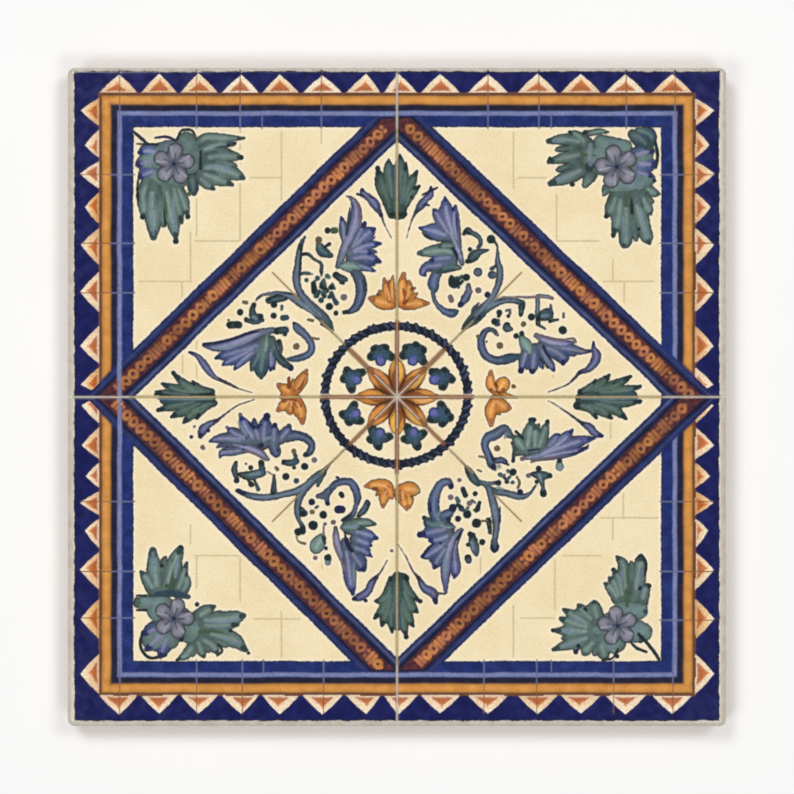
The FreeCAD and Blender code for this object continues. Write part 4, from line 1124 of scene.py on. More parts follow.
FLEURS = {
    "orange": [
        [(-1.2, 20.9, 0.8), (-3.4, 21.6, 1.3), (-6, 22.4, 0.9)],
        [(-1.6, 21.4, 0.9), (-2.1, 24, 1), (-2.9, 26.8, 0.6)],
        [(-1, 22, 0.6), (-1.2, 25, 0.6), (-0.9, 27.6, 0.35)],
        [(1.8, 20.9, 0.9), (4, 21.3, 1.1), (7.1, 21.3, 0.6)],
        [(2, 22, 0.8), (2.7, 24, 0.9), (2.8, 26.4, 0.5)], [(1, 21.4, 0.9), (1, 24.6, 1), (1.5, 28, 0.8)],
        [(-1.6, -22, 0.9), (-2.6, -20.3, 1.2), (-5, -20, 1), (-7.2, -20.3, 0.6)],
        [(-2.4, -21, 1), (-3, -23, 0.9), (-3.2, -25, 0.6)],
        [(-1.8, -20.8, 0.8), (-1.4, -22, 0.7), (-1.1, -23.1, 0.4)],
        [(1, -21, 1), (1.4, -23.4, 0.9), (2.2, -25.6, 0.6)],
        [(2.4, -21.8, 0.8), (2.9, -23.6, 0.7), (2.8, -25.2, 0.5)],
        [(-23.4, 1.2, 0.9), (-21.8, 3.6, 1.1), (-20.6, 6, 0.7)], [(-25.2, 0.2, 1.1), (-23.2, 0, 1.1)],
        [(-24.2, 1, 1), (-25.4, 1.8, 1), (-27, 2.7, 0.8)],
        [(-24.4, -0.8, 1), (-25.6, -1.8, 1), (-27, -3, 0.8)],
        [(-24, -0.8, 1.2), (-24.2, -2.4, 1.1), (-24.3, -3.6, 0.8)],
        [(-23, -0.8, 1.1), (-22, -3, 1.1), (-21.5, -5.8, 0.9)],
        [(22.6, 1.2, 0.8), (21.3, 3, 0.95), (21.4, 5.8, 0.7)],
        [(22.4, -0.6, 0.9), (21.4, -3, 1.15), (21.4, -6.2, 0.9)],
        [(22.4, -0.6, 1), (24, -2.1, 1.15), (25.7, -2.5, 0.7)],
    ],
    "amber": [
        [(1.6, -20.8, 1.2), (3, -21, 1.6), (4.6, -21.3, 1.2)],
        [(23, 1.2, 1), (24, 2.8, 1.5), (24.6, 3.6, 1.3)], [(24.4, 0.4, 0.7), (27.4, -0.2, 0.3)],
    ],
    "rust": [
        [(-1.8, 21.6, 0.35), (-1.9, 24, 0.45), (-2.2, 26, 0.2)],
        [(1.7, 21.4, 0.4), (2.2, 22.6, 0.5), (1.2, 24.6, 0.35)], [(6.6, 21.3, 0.4)],
        [(2.8, 24.4, 0.3), (4.1, 24.8, 0.35)], [(-4.4, 23.4, 0.3)], [(-2.2, -20.6, 0.5), (-2.6, -22, 0.35)],
        [(-5.4, -20.9, 0.35), (-4.6, -20.9, 0.4)], [(0.8, -21.4, 0.35), (1.1, -23.4, 0.4)],
        [(2.5, -22.8, 0.2), (3.4, -22.6, 0.2)], [(-23.2, 1.6, 0.3), (-22, 2.6, 0.55), (-21.2, 4.4, 0.3)],
        [(-24.6, 2.2, 0.4), (-24.6, 4.3, 0.4)], [(-25.6, -0.9, 0.5), (-23.6, -1, 0.6), (-22.2, -2, 0.6)],
        [(-26.7, 2.6, 0.4)], [(-24.2, -1.8, 0.5), (-23.8, -2.8, 0.5)],
        [(21.4, 1.8, 0.35), (22.6, 1.4, 0.3)], [(23.2, 1.3, 0.6), (24.2, 1.6, 0.5)],
        [(22.4, 3, 0.3), (22.8, 2.2, 0.3)], [(21.3, 5.3, 0.4)], [(26.5, 2.4, 0.45)],
    ],
}
ROSETTE_FLOWERS = (  # the pale heart of each small flower and the tips of its petals
    ((-3.7, 8.2), ((-5.3, 11.2), (-2.7, 11.5), (-1.3, 9.4), (-6.1, 9.4))),
    ((3.6, 8.3), ((2.1, 11.5), (4.4, 12.1), (6.1, 11), (1.4, 9.7), (6.2, 8.3))),
    ((8.5, 4), ((8.3, 5.9), (11.1, 6.1), (12.8, 4.1), (10.7, 2.4))),
    ((8.4, -3.6), ((10.3, -1.8), (11.5, -3.4), (12.5, -4.8), (10.6, -6.2), (7.9, -5.2))),
    ((3.7, -8), ((2.3, -7), (6.2, -8.5), (1.8, -9.9), (4.8, -11.6))),
    ((-3.9, -8.2), ((-6, -7), (-1.8, -9.3), (-4.3, -11.6), (-6.2, -9.9))),
    ((-9.4, -3.8), ((-10, -1.8), (-12.7, -4), (-11.2, -5.9), (-8.6, -5.6))),
    ((-9.2, 4), ((-11.7, 6.2), (-8.2, 5.8), (-12.5, 4.2), (-10.6, 1.8))),
)
CORNER_TOP_LEFT = {
    "bed": [
        [(-57, 53.5, 2.2), (-52, 54.5, 4), (-47.5, 54, 3.6)], [(-54.5, 50.5, 2.8), (-50, 50, 2.8)],
        [(-48, 58, 2.4), (-47.5, 56, 2.8)],
    ],
    "frond": [
        [(-45, 58, 0.9), (-43.4, 59, 0.9), (-40, 58.9, 0.9), (-34.8, 58.9, 0.5)],
        [(-44.6, 56, 1.2), (-41, 57.2, 1), (-37, 57.6, 0.7)],
        [(-44.4, 54, 1.4), (-41, 54.8, 1.2), (-37.6, 54.8, 1), (-35.4, 54.5, 0.7)],
        [(-44.4, 52.6, 1.4), (-40.5, 52, 1.4), (-37, 50.8, 1.2), (-34.9, 49.8, 0.7)],
        [(-44.6, 51, 1.2), (-41, 49.6, 1.2), (-37.5, 48.3, 0.7)],
        [(-45, 50, 1), (-43.4, 48.6, 1), (-41.7, 47.3, 0.6)],
        [(-56.6, 49.5, 1.2), (-57.8, 46, 1.2), (-57.6, 43, 1), (-57.8, 41, 0.6)],
        [(-55.4, 49, 1.5), (-55.8, 44, 1.5), (-55.4, 40, 1.5), (-55.4, 36.4, 1.2)],
        [(-52.8, 49, 1.5), (-52, 44, 1.4), (-51, 40, 1.3), (-50.3, 36, 0.8)],
        [(-51, 48.4, 1.3), (-50, 44, 1.3), (-49, 39.8, 0.7)],
        [(-50, 48, 1), (-48.6, 44.5, 1.1), (-47.6, 41.3, 0.7)],
    ],
    "sage": [[(-47.9, 58.4, 1.4), (-47.9, 59.3, 1.6)]],
    "teal": [[(-46.6, 50, 0.8), (-46.4, 47.6, 1), (-46.2, 46.2, 0.8)]],
    "blue": [
        [(-53, 55, 1.2), (-56.4, 56, 1.4), (-58.6, 55.6, 0.8)],
        [(-53, 53.4, 1.2), (-57, 53.4, 1.5), (-59.2, 52.8, 0.7)],
        [(-53, 52, 1.2), (-56.6, 51, 1.4), (-58.6, 50, 0.7)],
    ],
    "night": [
        [(-35.5, 54.5, 0.5)], [(-44.7, 56, 0.25), (-44.7, 52, 0.4)],
        [(-50.1, 58.6, 0.25), (-49, 60.6, 0.35), (-46.8, 60.7, 0.35), (-45.7, 59, 0.25)],
        [(-59, 45.8, 0.4)], [(-57.9, 40.9, 0.5)], [(-50.3, 35.4, 0.55)], [(-47.6, 41, 0.5)],
        [(-55.8, 42.8, 0.45)], [(-58.7, 50.5, 0.25), (-59.1, 47.4, 0.3), (-58.8, 44.6, 0.25)],
        [(-53, 42.6, 0.2), (-52.7, 39, 0.35)], [(-60, 60.4, 0.3), (-58.6, 59.2, 0.45), (-56.7, 57.5, 0.4)],
        [(-59.2, 57.6, 0.25), (-54.5, 57.5, 0.35)],
    ],
    "ink": [
        [(-55, 59, 0.3), (-52.4, 59.2, 0.35), (-50.5, 58.4, 0.3)],
        [(-41.5, 56.9, 0.35), (-38.5, 57.4, 0.4), (-36.8, 57.7, 0.3)],
    ],
    "moss": [[(-52.7, 46, 0.4), (-52.6, 43.4, 0.45), (-52.6, 41, 0.35)], [(-47.3, 46.2, 0.45)]],
    "mist": [
        [(-43.4, 52.2, 0.4), (-40.4, 52.4, 0.5), (-37.4, 51.4, 0.25)],
        [(-42.8, 54.6, 0.25), (-39, 55, 0.35)], [(-56, 46.4, 0.3), (-55.8, 40, 0.45), (-55.4, 37, 0.3)],
        [(-50.8, 45, 0.3), (-50.8, 41.6, 0.4), (-50.4, 38, 0.25)],
    ],
}
CORNER_TOP_RIGHT = {
    "bed": [
        [(46.5, 54, 3.6), (51, 53, 3.2), (56, 54.5, 2.4)],
        [(50, 48.5, 2.6), (54, 49, 2.6), (57, 49.6, 1.8)], [(46.5, 58, 1.8), (52, 57, 1.6)],
    ],
    "frond": [
        [(42.4, 58, 1.2), (38, 58.6, 1.1), (34.4, 58.2, 0.9)],
        [(42.5, 55.4, 1.4), (38, 54.4, 1.1), (34.5, 53.5, 0.75)],
        [(42.6, 52, 1.5), (38.6, 50, 1.3), (34.9, 48.6, 1)], [(44, 50.4, 1.3), (42.8, 48.2, 1.1)],
        [(43, 57.6, 1.4), (41, 59.6, 0.8), (39.4, 60.3, 0.5)],
        [(43.6, 56.8, 1.6), (44, 54, 1.8), (43.8, 52, 1.8)],
        [(43.6, 60, 0.6), (46, 60.4, 0.6), (48.1, 60.3, 0.4)],
        [(50, 46, 1.4), (48.9, 43, 1.3), (47.7, 41.2, 0.7)],
        [(51, 46, 1.4), (50.4, 41, 1.3), (49.3, 37, 0.8)],
        [(52, 46, 1.4), (52.2, 40, 1.5), (52, 35.6, 1.2), (51.6, 34.4, 0.7)],
        [(54, 46, 1.6), (55.2, 41, 1.4), (56.6, 37, 1.3), (57.4, 35.2, 0.9)],
        [(55.8, 46, 1.2), (57, 43, 1), (57.8, 41.6, 0.5)],
        [(56.7, 47.6, 0.9), (58.2, 46.6, 0.9), (59.7, 46.2, 0.5)], [(47.8, 47.4, 1), (47, 46, 0.6)],
    ],
    "blue": [
        [(53, 54.4, 1.2), (56, 55.6, 1.5), (58.2, 56, 0.8)],
        [(53, 53, 1.2), (56.4, 53, 1.6), (58.8, 52.8, 0.8)],
        [(53.4, 51.6, 1.1), (56, 50.8, 1.2), (58, 50.2, 0.6)],
    ],
    "teal": [
        [(53.6, 59.8, 0.9), (55.6, 58.6, 1.6), (57.4, 56.6, 1.6)],
        [(55, 60.6, 0.7), (57.4, 59.8, 1.2), (58.4, 57.6, 0.8)],
    ],
    "night": [
        [(42.8, 60.2, 0.5)], [(39.9, 48.4, 0.5)], [(34.8, 54.2, 0.45)], [(39.3, 60.3, 0.4)],
        [(58.8, 58, 0.35), (59.3, 55, 0.45), (58.9, 52.2, 0.35)], [(58.6, 49.2, 0.4)],
        [(53.4, 45, 0.25), (53.5, 42, 0.4)], [(47.6, 41.1, 0.45)], [(49.2, 36.7, 0.45)], [(55, 38.2, 0.35)],
    ],
    "moss": [
        [(52.2, 46, 0.3), (52.2, 42, 0.4), (52.2, 38, 0.3)],
        [(40, 55, 0.25), (42.6, 55.2, 0.35), (45, 55, 0.25)],
    ],
    "mist": [
        [(44, 57.4, 0.4), (44, 53, 0.5)], [(40.6, 51.2, 0.25), (36.6, 49.4, 0.45)],
        [(39, 58.6, 0.25), (35.6, 58.3, 0.4)], [(55.2, 43, 0.25), (56.4, 38.4, 0.5), (57, 36, 0.3)],
        [(51.4, 41, 0.25), (51.8, 36.6, 0.4)],
    ],
}
CORNER_BOTTOM_LEFT = {
    "bed": [
        [(-54, -48, 3.2), (-50, -51, 3.6), (-47, -53, 3.2)], [(-55.5, -55, 2.8), (-52, -55, 2.6)],
        [(-57.6, -47, 1.8), (-55, -47, 1.8)],
    ],
    "frond": [
        [(-55.4, -44, 1.3), (-56.8, -41.6, 1.1), (-58.3, -39.8, 0.6)],
        [(-54.6, -44, 1.5), (-55.2, -39, 1.4), (-55.6, -35, 1.3)],
        [(-52.6, -44, 1.5), (-51.6, -40, 1.4), (-50.4, -37, 1.3), (-49.3, -34.6, 1.2)],
        [(-50, -44, 1.4), (-48.8, -41, 1), (-47.9, -37.8, 0.6)],
        [(-49, -44.4, 1.1), (-47.9, -42.4, 0.9), (-48, -40, 0.5)],
        [(-45, -50, 1.4), (-43.6, -48.8, 1.2), (-41.6, -47.7, 0.7)],
        [(-44.6, -51, 1.5), (-40, -50.6, 1.4), (-37, -50.2, 1.3), (-34.9, -49.8, 0.9)],
        [(-44.6, -52, 1.4), (-40, -52, 1.3), (-36.4, -51.8, 0.8)],
        [(-44.4, -53.6, 1.6), (-40, -54.4, 1.5), (-37, -55.4, 1.4), (-34.4, -57.6, 0.8)],
        [(-44.4, -55, 1.4), (-42, -56.6, 1.1), (-40.8, -58.4, 0.5)],
        [(-45.4, -55.4, 1.3), (-44.6, -57.6, 1), (-43.9, -59.2, 0.5)],
        [(-46.4, -56.6, 1.1), (-48, -58.6, 0.9), (-49.8, -59.7, 0.5)],
        [(-54, -54.8, 1.8), (-54.9, -56.6, 1.9)],
    ],
    "teal": [[(-58.8, -46.8, 1), (-57.6, -46.8, 1.1)]],
    "blue": [
        [(-52.6, -52, 1.3), (-55.4, -53, 1.5), (-57.6, -54, 0.8)],
        [(-52.4, -53, 1.4), (-55, -55.4, 1.6), (-57, -57.4, 0.8)],
        [(-51.6, -53.4, 1.3), (-53, -56.6, 1.4), (-53.8, -59.2, 0.7)],
    ],
    "night": [
        [(-49.2, -34.2, 0.5)], [(-53.5, -38.4, 0.4)], [(-59.2, -45.2, 0.3), (-57, -45.2, 0.3)],
        [(-59.2, -48.5, 0.3), (-57, -48.5, 0.3)],
        [(-57.9, -53.3, 0.3), (-58.4, -56, 0.4), (-57.8, -58, 0.4), (-56, -59.4, 0.4),
         (-52.6, -58.8, 0.35)], [(-40.7, -56.3, 0.25), (-39.8, -57.8, 0.35), (-40.9, -58.8, 0.3)],
        [(-50, -59.9, 0.4)], [(-33.8, -58.3, 0.35)], [(-45.5, -47.2, 0.45)], [(-37.9, -53.2, 0.35)],
    ],
    "ink": [[(-47.1, -49.6, 0.4), (-47.3, -52.4, 0.5), (-49.2, -55.4, 0.4)]],
    "shade": [[(-54.7, -44.9, 0.6), (-51.3, -44.7, 0.8), (-47.5, -45.5, 0.6)]],
    "moss": [
        [(-50.9, -37, 0.25), (-51.2, -40, 0.35), (-51.6, -44, 0.35)], [(-52.4, -43, 0.4)],
        [(-44.9, -53.5, 0.4), (-42, -53.4, 0.35), (-39.6, -53.6, 0.2)],
    ],
    "mist": [
        [(-43.6, -50.8, 0.3), (-39.4, -51, 0.4), (-36.2, -50.5, 0.35)],
        [(-40, -54.8, 0.25), (-36, -56, 0.4)], [(-55, -42, 0.25), (-55.4, -38, 0.5), (-55.5, -35.6, 0.4)],
        [(-50.4, -41, 0.25), (-50, -37.4, 0.45)],
    ],
}
CORNER_BOTTOM_RIGHT = {
    "bed": [
        [(49, -52, 3.2), (53, -53, 3), (56, -53.5, 2.2)], [(50, -56, 2.2), (47, -56, 2.4)],
        [(52, -48.5, 2.8), (55, -48.5, 2.2)], [(44.6, -53, 1.6), (47.4, -53, 1.8)],
    ],
    "frond": [
        [(50.4, -46, 1.2), (48.8, -43.6, 1), (47.3, -42.5, 0.6)],
        [(50.6, -46, 1.3), (49.6, -42.6, 1.1), (48.4, -41.2, 0.7)],
        [(51.4, -46, 1.3), (50.6, -41.6, 1.2), (49.4, -39.5, 0.7)],
        [(52.2, -46, 1.4), (51.8, -41, 1.3), (51.4, -38, 1), (50, -36.4, 0.6)],
        [(54, -46, 1.5), (54.8, -41.4, 1.4), (55.4, -38, 1.2), (55.4, -36.9, 0.9)],
        [(55.8, -46.4, 1.2), (56.4, -44, 1), (56.9, -42.8, 0.8)],
        [(45.6, -50.6, 1.4), (45, -48, 1.2), (44.7, -46.6, 0.7)],
        [(44.6, -51, 1.5), (42.6, -49, 1.2), (41.3, -47.3, 0.6)],
        [(44, -52, 1.6), (40.6, -50, 1.2), (38, -48.4, 0.7)],
        [(44, -52.6, 1.5), (40, -51.4, 1.2), (37.2, -50.4, 0.7)],
        [(44, -53.4, 1.6), (39.6, -53.2, 1.2), (36, -53.1, 0.8)],
        [(44.2, -54.4, 1.5), (39.6, -56, 1.2), (35.6, -57.5, 0.7)],
        [(45, -55.4, 1.4), (43, -57.6, 1), (42.8, -58.4, 0.6)],
        [(46.4, -56, 1.5), (47, -58.4, 1.1), (47.6, -59.6, 0.6)], [(48.4, -56, 1.3), (49.6, -58.2, 0.9)],
    ],
    "teal": [[(54.4, -51.6, 1), (55, -51.4, 0.9)], [(54.6, -54, 1.2), (55.4, -55, 1.5)]],
    "night": [
        [(54.3, -37, 0.25), (55.6, -35.9, 0.3), (56.7, -38, 0.35), (56.4, -40.6, 0.25)],
        [(57.4, -43, 0.45)], [(49.2, -39.3, 0.45)], [(35.5, -53.1, 0.45)], [(50.1, -59, 0.45)],
        [(42.8, -48.4, 0.45)], [(53, -55.6, 0.3), (54.5, -57.1, 0.4), (56.7, -58, 0.35)],
        [(55, -54, 0.4), (57.5, -56.7, 0.45), (59.7, -59.7, 0.4)],
        [(50.3, -57.4, 0.3), (49, -59.4, 0.3), (46.6, -60, 0.25)],
    ],
    "ink": [[(40.7, -58, 0.5)], [(41.3, -56.7, 0.4)], [(55.2, -43.5, 0.45)]],
    "shade": [[(56.5, -48.8, 0.45)]],
    "moss": [[(52.4, -39, 0.25), (52.4, -43, 0.4), (52.4, -47.6, 0.4)]],
    "mist": [
        [(43, -51.6, 0.3), (39.6, -50.2, 0.3)], [(42.4, -53.4, 0.25), (38.4, -53.2, 0.4)],
        [(43, -55, 0.25), (38, -56.6, 0.4)], [(54.8, -43, 0.25), (55.4, -39, 0.45)],
        [(51, -44, 0.2), (51.2, -40, 0.35)],
    ],
}
DRAWINGS = (
    PALMETTES, BUDS, FLEURS, CORNER_TOP_LEFT, CORNER_TOP_RIGHT, CORNER_BOTTOM_LEFT, CORNER_BOTTOM_RIGHT,
    ACANTHUS_TOP_LEFT, ACANTHUS_TOP_RIGHT, ACANTHUS_LEFT_UPPER, ACANTHUS_RIGHT_UPPER,
    ACANTHUS_BOTTOM_LEFT, ACANTHUS_BOTTOM_RIGHT, ACANTHUS_LEFT_LOWER, ACANTHUS_RIGHT_LOWER,
)

ROOTS_APART, TIPS_APART = 3.6, 9.0  # lobes further apart than this aren't neighbours


def between(strokes, reach):
    """What joins each two neighbouring lobes of a leaf: the web's outline, and a shorter lobe on it."""
    paths = [curve(stroke, 4) for stroke in strokes if len(stroke) > 2]
    for one, other in zip(paths, paths[1:]):
        tips_apart = math.dist(one[-1][:2], other[-1][:2])
        if math.dist(one[0][:2], other[0][:2]) > ROOTS_APART or tips_apart > TIPS_APART:
            continue
        def at(path, share):
            return path[round(share * (len(path) - 1))]
        deep = reach * (0.7 if tips_apart < 4 else 0.58)
        notch = (at(one, deep - 0.15) + at(other, deep - 0.15)) / 2
        outline = [*(at(one, share) for share in (0, deep / 2, deep)), notch]
        outline += [at(other, share) for share in (deep, deep / 2, 0)]
        lobe = [tuple((at(one, reach * share) + at(other, reach * share)) / 2 * (1, 1, thin))
                for share, thin in ((0.1, 0.6), (0.4, 0.7), (0.65, 0.75), (0.84, 0.4))]
        yield np.array(outline)[:, :2], lobe


def draw(painting, drawing, seed):
    """Paints a drawing's strokes, each in the manner of its style. Neighbouring lobes are joined by webs and
    shorter lobes. A stroke with a tip tone ends in a dark dab, and one with a pale tone has a light on it."""
    random = np.random.default_rng(seed)
    for style, strokes in drawing.items():
        coat, tones, edge, tip, pale = STYLES[style]
        if style in WEBBED:
            for outline, lobe in between(strokes, WEBBED[style]):
                shades = (tones[0] * 0.5, tones[1] * 0.6)
                painting.fill("wash", outline, shades, outline[0], outline[2], smooth=False)
                density = random.uniform(0.62, 0.85)
                painting.brush("wash", lobe, *(shade * density for shade in tones), edge=edge)
        for stroke in strokes:
            density = random.uniform(0.85, 1.12)
            if style in WEBBED or style in SPREAD:
                wide = 1 + WIDENING * WEBBED.get(style, SPREAD_SHARE)
                *rest, (tip_x, tip_y, tip_half) = stroke
                stroke = [(x, y, half * wide) for x, y, half in rest] + [(tip_x, tip_y, tip_half * 0.7)]
            elif len(stroke) == 1:
                stroke = [(x, y, half * 1.25) for x, y, half in stroke]
            painting.brush(coat, list(stroke), *(shade * density for shade in tones), edge=edge)
            if len(stroke) < 3:
                continue
            path = curve(stroke, 4)
            if tip is not None:
                painting.brush("dark", [tuple(row) for row in path[-2:] * (1, 1, 0.7)], tip * density)
            if pale is not None:
                middle = path[len(path) // 5:-len(path) // 6]
                painting.brush("light", [tuple(row) for row in middle * (1, 1, 0.2)], pale * density)


CLUSTERS = (  # middle, reach, number of marks
    ((-18.7, 32.6), 2.9, 15), ((-16.7, 23.8), 3.4, 17), ((-32.6, 18.9), 3.0, 11), ((-27.0, 22.0), 1.8, 5),
    ((17.1, 32.2), 2.7, 12), ((14.0, 27.0), 2.6, 7), ((25.0, 18.3), 2.8, 10), ((33.0, 19.0), 2.6, 12),
    ((-33.0, -17.0), 3.4, 16), ((-26.0, -15.0), 2.6, 8), ((-17.0, -26.0), 2.8, 8), ((-18.4, -33.2), 2.2, 9),
    ((15.5, -25.0), 3.0, 12), ((17.0, -32.6), 2.6, 12), ((25.0, -18.0), 2.6, 8), ((32.4, -18.0), 2.4, 9),
)
CLEARANCE = 0.75  # between such a mark and the washes


def sprinkle(painting):
    """Clusters of tiny leaves and buds in the hollows of the scrolls, kept off the larger leaves."""
    random = np.random.default_rng(61)
    shades = (BLACK_GREEN, BLACK_GREEN * 1.6, DEEP_LEAF * 0.6, TEAL * 0.6, DEEP_LEAF)
    def is_free(x, y):
        column, row = np.searchsorted(painting.across, x), np.searchsorted(painting.along, y)
        return painting.distance["wash"][row, column] > CLEARANCE
    for middle, reach, count in CLUSTERS:
        for _ in range(count):
            x, y = middle + random.normal(0, 0.55 * reach, 2)
            turn, long = random.uniform(0, 2 * math.pi), random.choice((0.05, 0.5, 0.8, 1.2))
            end_x, end_y = x + long * math.cos(turn), y + long * math.sin(turn)
            half, shade = random.uniform(0.34, 0.62), shades[random.integers(len(shades))]
            if is_free(x, y) and is_free(end_x, end_y) and math.dist((x, y), middle) < 1.3 * reach:
                mark = [(x, y, half), (end_x, end_y, half * 0.8)]
                painting.brush("dark", mark, shade, shade * 1.3, steps=2)


def fine_lines(painting):
    """Hair-thin lines over the cream field and across the border, and the cross in the middle."""
    def line(points, colour, half, coat="scratch"):
        painting.brush(coat, [(*point, half) for point in points], colour, steps=2)
    def tick(side, place, start, end, colour, half):
        line((on_side(side, place, start), on_side(side, place, end)), colour, half)
    def ray(across, up, start, end, colour, half, coat):
        line(((across * start, up * start), (across * end, up * end)), colour, half, coat)
    for start, end in FIELD_LINES:
        line((start, end), HAIR, 0.2)
    painted = np.minimum.reduce([painting.distance[coat] for coat in ("wash", "body", "dark")])
    painting.clear("scratch", WHOLE, painted - 0.6)
    for side in SIDE_SHIFT:
        for place in TICKS[side]:
            tick(side, place, TICK_START, OCHRE_TICK_START, HAIR_ON_NAVY, 0.2)
            tick(side, place, OCHRE_TICK_START, TOOTH_TIP, tone(140, 92, 52), 0.16)
            tick(side, place, TOOTH_TIP, TICK_END, INK, 0.2)
        for place in SHORT_TICKS[side]:
            tick(side, place, TICK_START, SHORT_TICK_END, HAIR_ON_NAVY, 0.18)
    for across, up in ((1, 1), (-1, 1), (1, -1), (-1, -1)):
        ray(across, up, *BROAD_DIAGONAL, UPPER_HALF if up > 0 else LOWER_HALF, "light")
        for row in DIAGONAL_LINES:
            ray(across, up, *row)
    for across, up in ((0, 1), (0, -1), (1, 0), (-1, 0)):
        for row in CROSS_LINES:
            ray(across, up, *row)
    painting.brush("scratch", [(0, 0, 0.75), (0.02, 0, 0.75)], tone(178, 170, 148))


DRAWING_SEED = 200


def paint_tile(across, along):
    """The whole pattern on a lattice."""
    painting = Painting(across, along)
    border(painting)
    teeth(painting)
    diamond(painting)
    for number, drawing in enumerate(DRAWINGS):
        draw(painting, drawing, DRAWING_SEED + number)
    for middle, radius, turn in CORNER_FLOWERS:
        corner_flower(painting, middle, radius, turn)
    rosette(painting)
    sprinkle(painting)
    fine_lines(painting)
    return painting


MM = 0.001  # metres in a millimetre
BODY = "root"

tile_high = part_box("azulejo_tile")[1]
HALF_SIDE = tile_high.x / MM
FACE = tile_high.z / MM
CORNER_RADIUS = 1.6
ARRIS_RADIUS = 1.2
SCORE_HALF, SCORE_SINK = 0.5, 0.33
CORE = HALF_SIDE - CORNER_RADIUS
FLAT_RIM = CORNER_RADIUS - ARRIS_RADIUS
QUARTER_TURN = math.pi / 2

GLAZE = 0.07  # thickness of the glaze over the clay
CELL = 0.25  # spacing of the mesh over the face
SCORE_LINES = (0.0, 0.12, 0.24, 0.35, 0.44, 0.52, 0.62, 0.76)
SIDE_LINES = (0.45, 0.9, 1.3, 1.6)  # down the side, to the glaze's hem
HEM_TAPER = (1.0, 0.9, 0.55, -0.3)  # share of the glaze's thickness there
RIPPLE = 0.02
RELIEF = {  # how far a coat rises at its marks, and how wide its slope is
    "body": (0.012, 0.5), "dark": (0.014, 0.4), "light": (0.01, 0.4), "scratch": (-0.035, 0.4),
}


def surface_lines():
    """The places of the mesh's lines along one half of the tile, measured along its surface."""
    first = SCORE_LINES[-1] + CELL
    flat = np.linspace(first, CORE, round((CORE - first) / CELL) + 1)
    arris = CORE + FLAT_RIM + ARRIS_RADIUS * np.linspace(0, QUARTER_TURN, 7)
    side = arris[-1] + np.array(SIDE_LINES)
    return np.concatenate([SCORE_LINES, flat, arris, side])


def glaze_surface(u, v):
    """Where the points (u, v) of the unrolled glaze lie, in millimetres."""
    over_u, over_v = np.maximum(abs(u) - CORE, 0), np.maximum(abs(v) - CORE, 0)
    out = np.maximum(over_u, over_v)
    share = np.minimum(over_u, over_v) / np.maximum(out, 1e-9)
    angle = np.where(over_u >= over_v, share, 2 - share) * QUARTER_TURN / 2
    turn = np.clip((out - FLAT_RIM) / ARRIS_RADIUS, 0, QUARTER_TURN)
    drop = np.maximum(out - FLAT_RIM - ARRIS_RADIUS * QUARTER_TURN, 0)
    thickness = GLAZE * np.interp(drop, (0, *SIDE_LINES), (1, *HEM_TAPER))
    drop = drop * (1 + 0.4 * wave(u, v, 37.0, 71) + 0.2 * wave(u, v, 9.0, 72))
    reach = np.minimum(out, FLAT_RIM) + (ARRIS_RADIUS + thickness) * np.sin(turn)
    x = np.sign(u) * (np.minimum(abs(u), CORE) + reach * np.cos(angle))
    y = np.sign(v) * (np.minimum(abs(v), CORE) + reach * np.sin(angle))
    ripple = RIPPLE * (wave(u, v, 23.0, 73) + 0.4 * wave(u, v, 6.0, 74))
    z = FACE - ARRIS_RADIUS + (ARRIS_RADIUS + thickness + ripple) * np.cos(turn) - drop
    for across in (u, v):
        bed = FACE + GLAZE - SCORE_SINK * np.maximum(1 - (across / SCORE_HALF) ** 2, 0)
        z = np.where(abs(across) < SCORE_HALF, np.minimum(z, bed), z)
    return x, y, z


def relief(painting):
    """How much the paint stands proud of the glaze or a scored line is sunk in it, in millimetres."""
    total = 0.0
    for coat, (rise, slope) in RELIEF.items():
        total = total + rise * np.clip(0.5 - painting.distance[coat] / slope, 0, 1)
    return total


UV_RIM = 0.01  # what stays free round a quarter in its bake map


def glaze_quarter(name, painting, part, points, material):
    """One quarter of the painted glaze, as a mesh that carries the coats of paint."""
    x, y, z = (axis[part] for axis in points)
    rows, columns = x.shape
    mesh = bpy.data.meshes.new(name)
    number = np.arange(rows * columns).reshape(rows, columns)
    corners = [number[:-1, :-1], number[:-1, 1:], number[1:, 1:], number[1:, :-1]]
    faces = np.stack(corners, axis=-1).reshape(-1, 4)
    mesh.vertices.add(x.size)
    mesh.vertices.foreach_set("co", (np.stack([x, y, z], axis=-1) * MM).ravel())
    mesh.loops.add(faces.size)
    mesh.loops.foreach_set("vertex_index", faces.ravel())
    mesh.polygons.add(len(faces))
    mesh.polygons.foreach_set("loop_start", np.arange(0, faces.size, 4))
    mesh.update(calc_edges=True)
    mesh.polygons.foreach_set("use_smooth", np.ones(len(faces), bool))
    u, v = np.meshgrid(painting.across, painting.along)
    spread = np.stack([u[part], v[part]], axis=-1).reshape(-1, 2)
    spread = UV_RIM + (1 - 2 * UV_RIM) * (spread - spread.min(axis=0)) / np.ptp(spread, axis=0)
    layer = mesh.uv_layers.new(name="OFBake")
    layer.uv.foreach_set("vector", spread[faces.ravel()].ravel())
    for coat in COATS:
        gap = mesh.attributes.new(f"{coat}_gap", "FLOAT", "POINT")
        gap.data.foreach_set("value", np.clip(painting.distance[coat][part], -REACH, REACH).ravel())
        colour = np.ones((x.size, 4))
        colour[:, :3] = np.clip(painting.colour[coat][part], 0, 1).reshape(-1, 3)
        mesh.attributes.new(coat, "FLOAT_COLOR", "POINT").data.foreach_set("color", colour.ravel())
    mesh.materials.append(material)
    piece = bpy.data.objects.new(name, mesh)
    bpy.context.scene.collection.objects.link(piece)
    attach(piece, BODY)


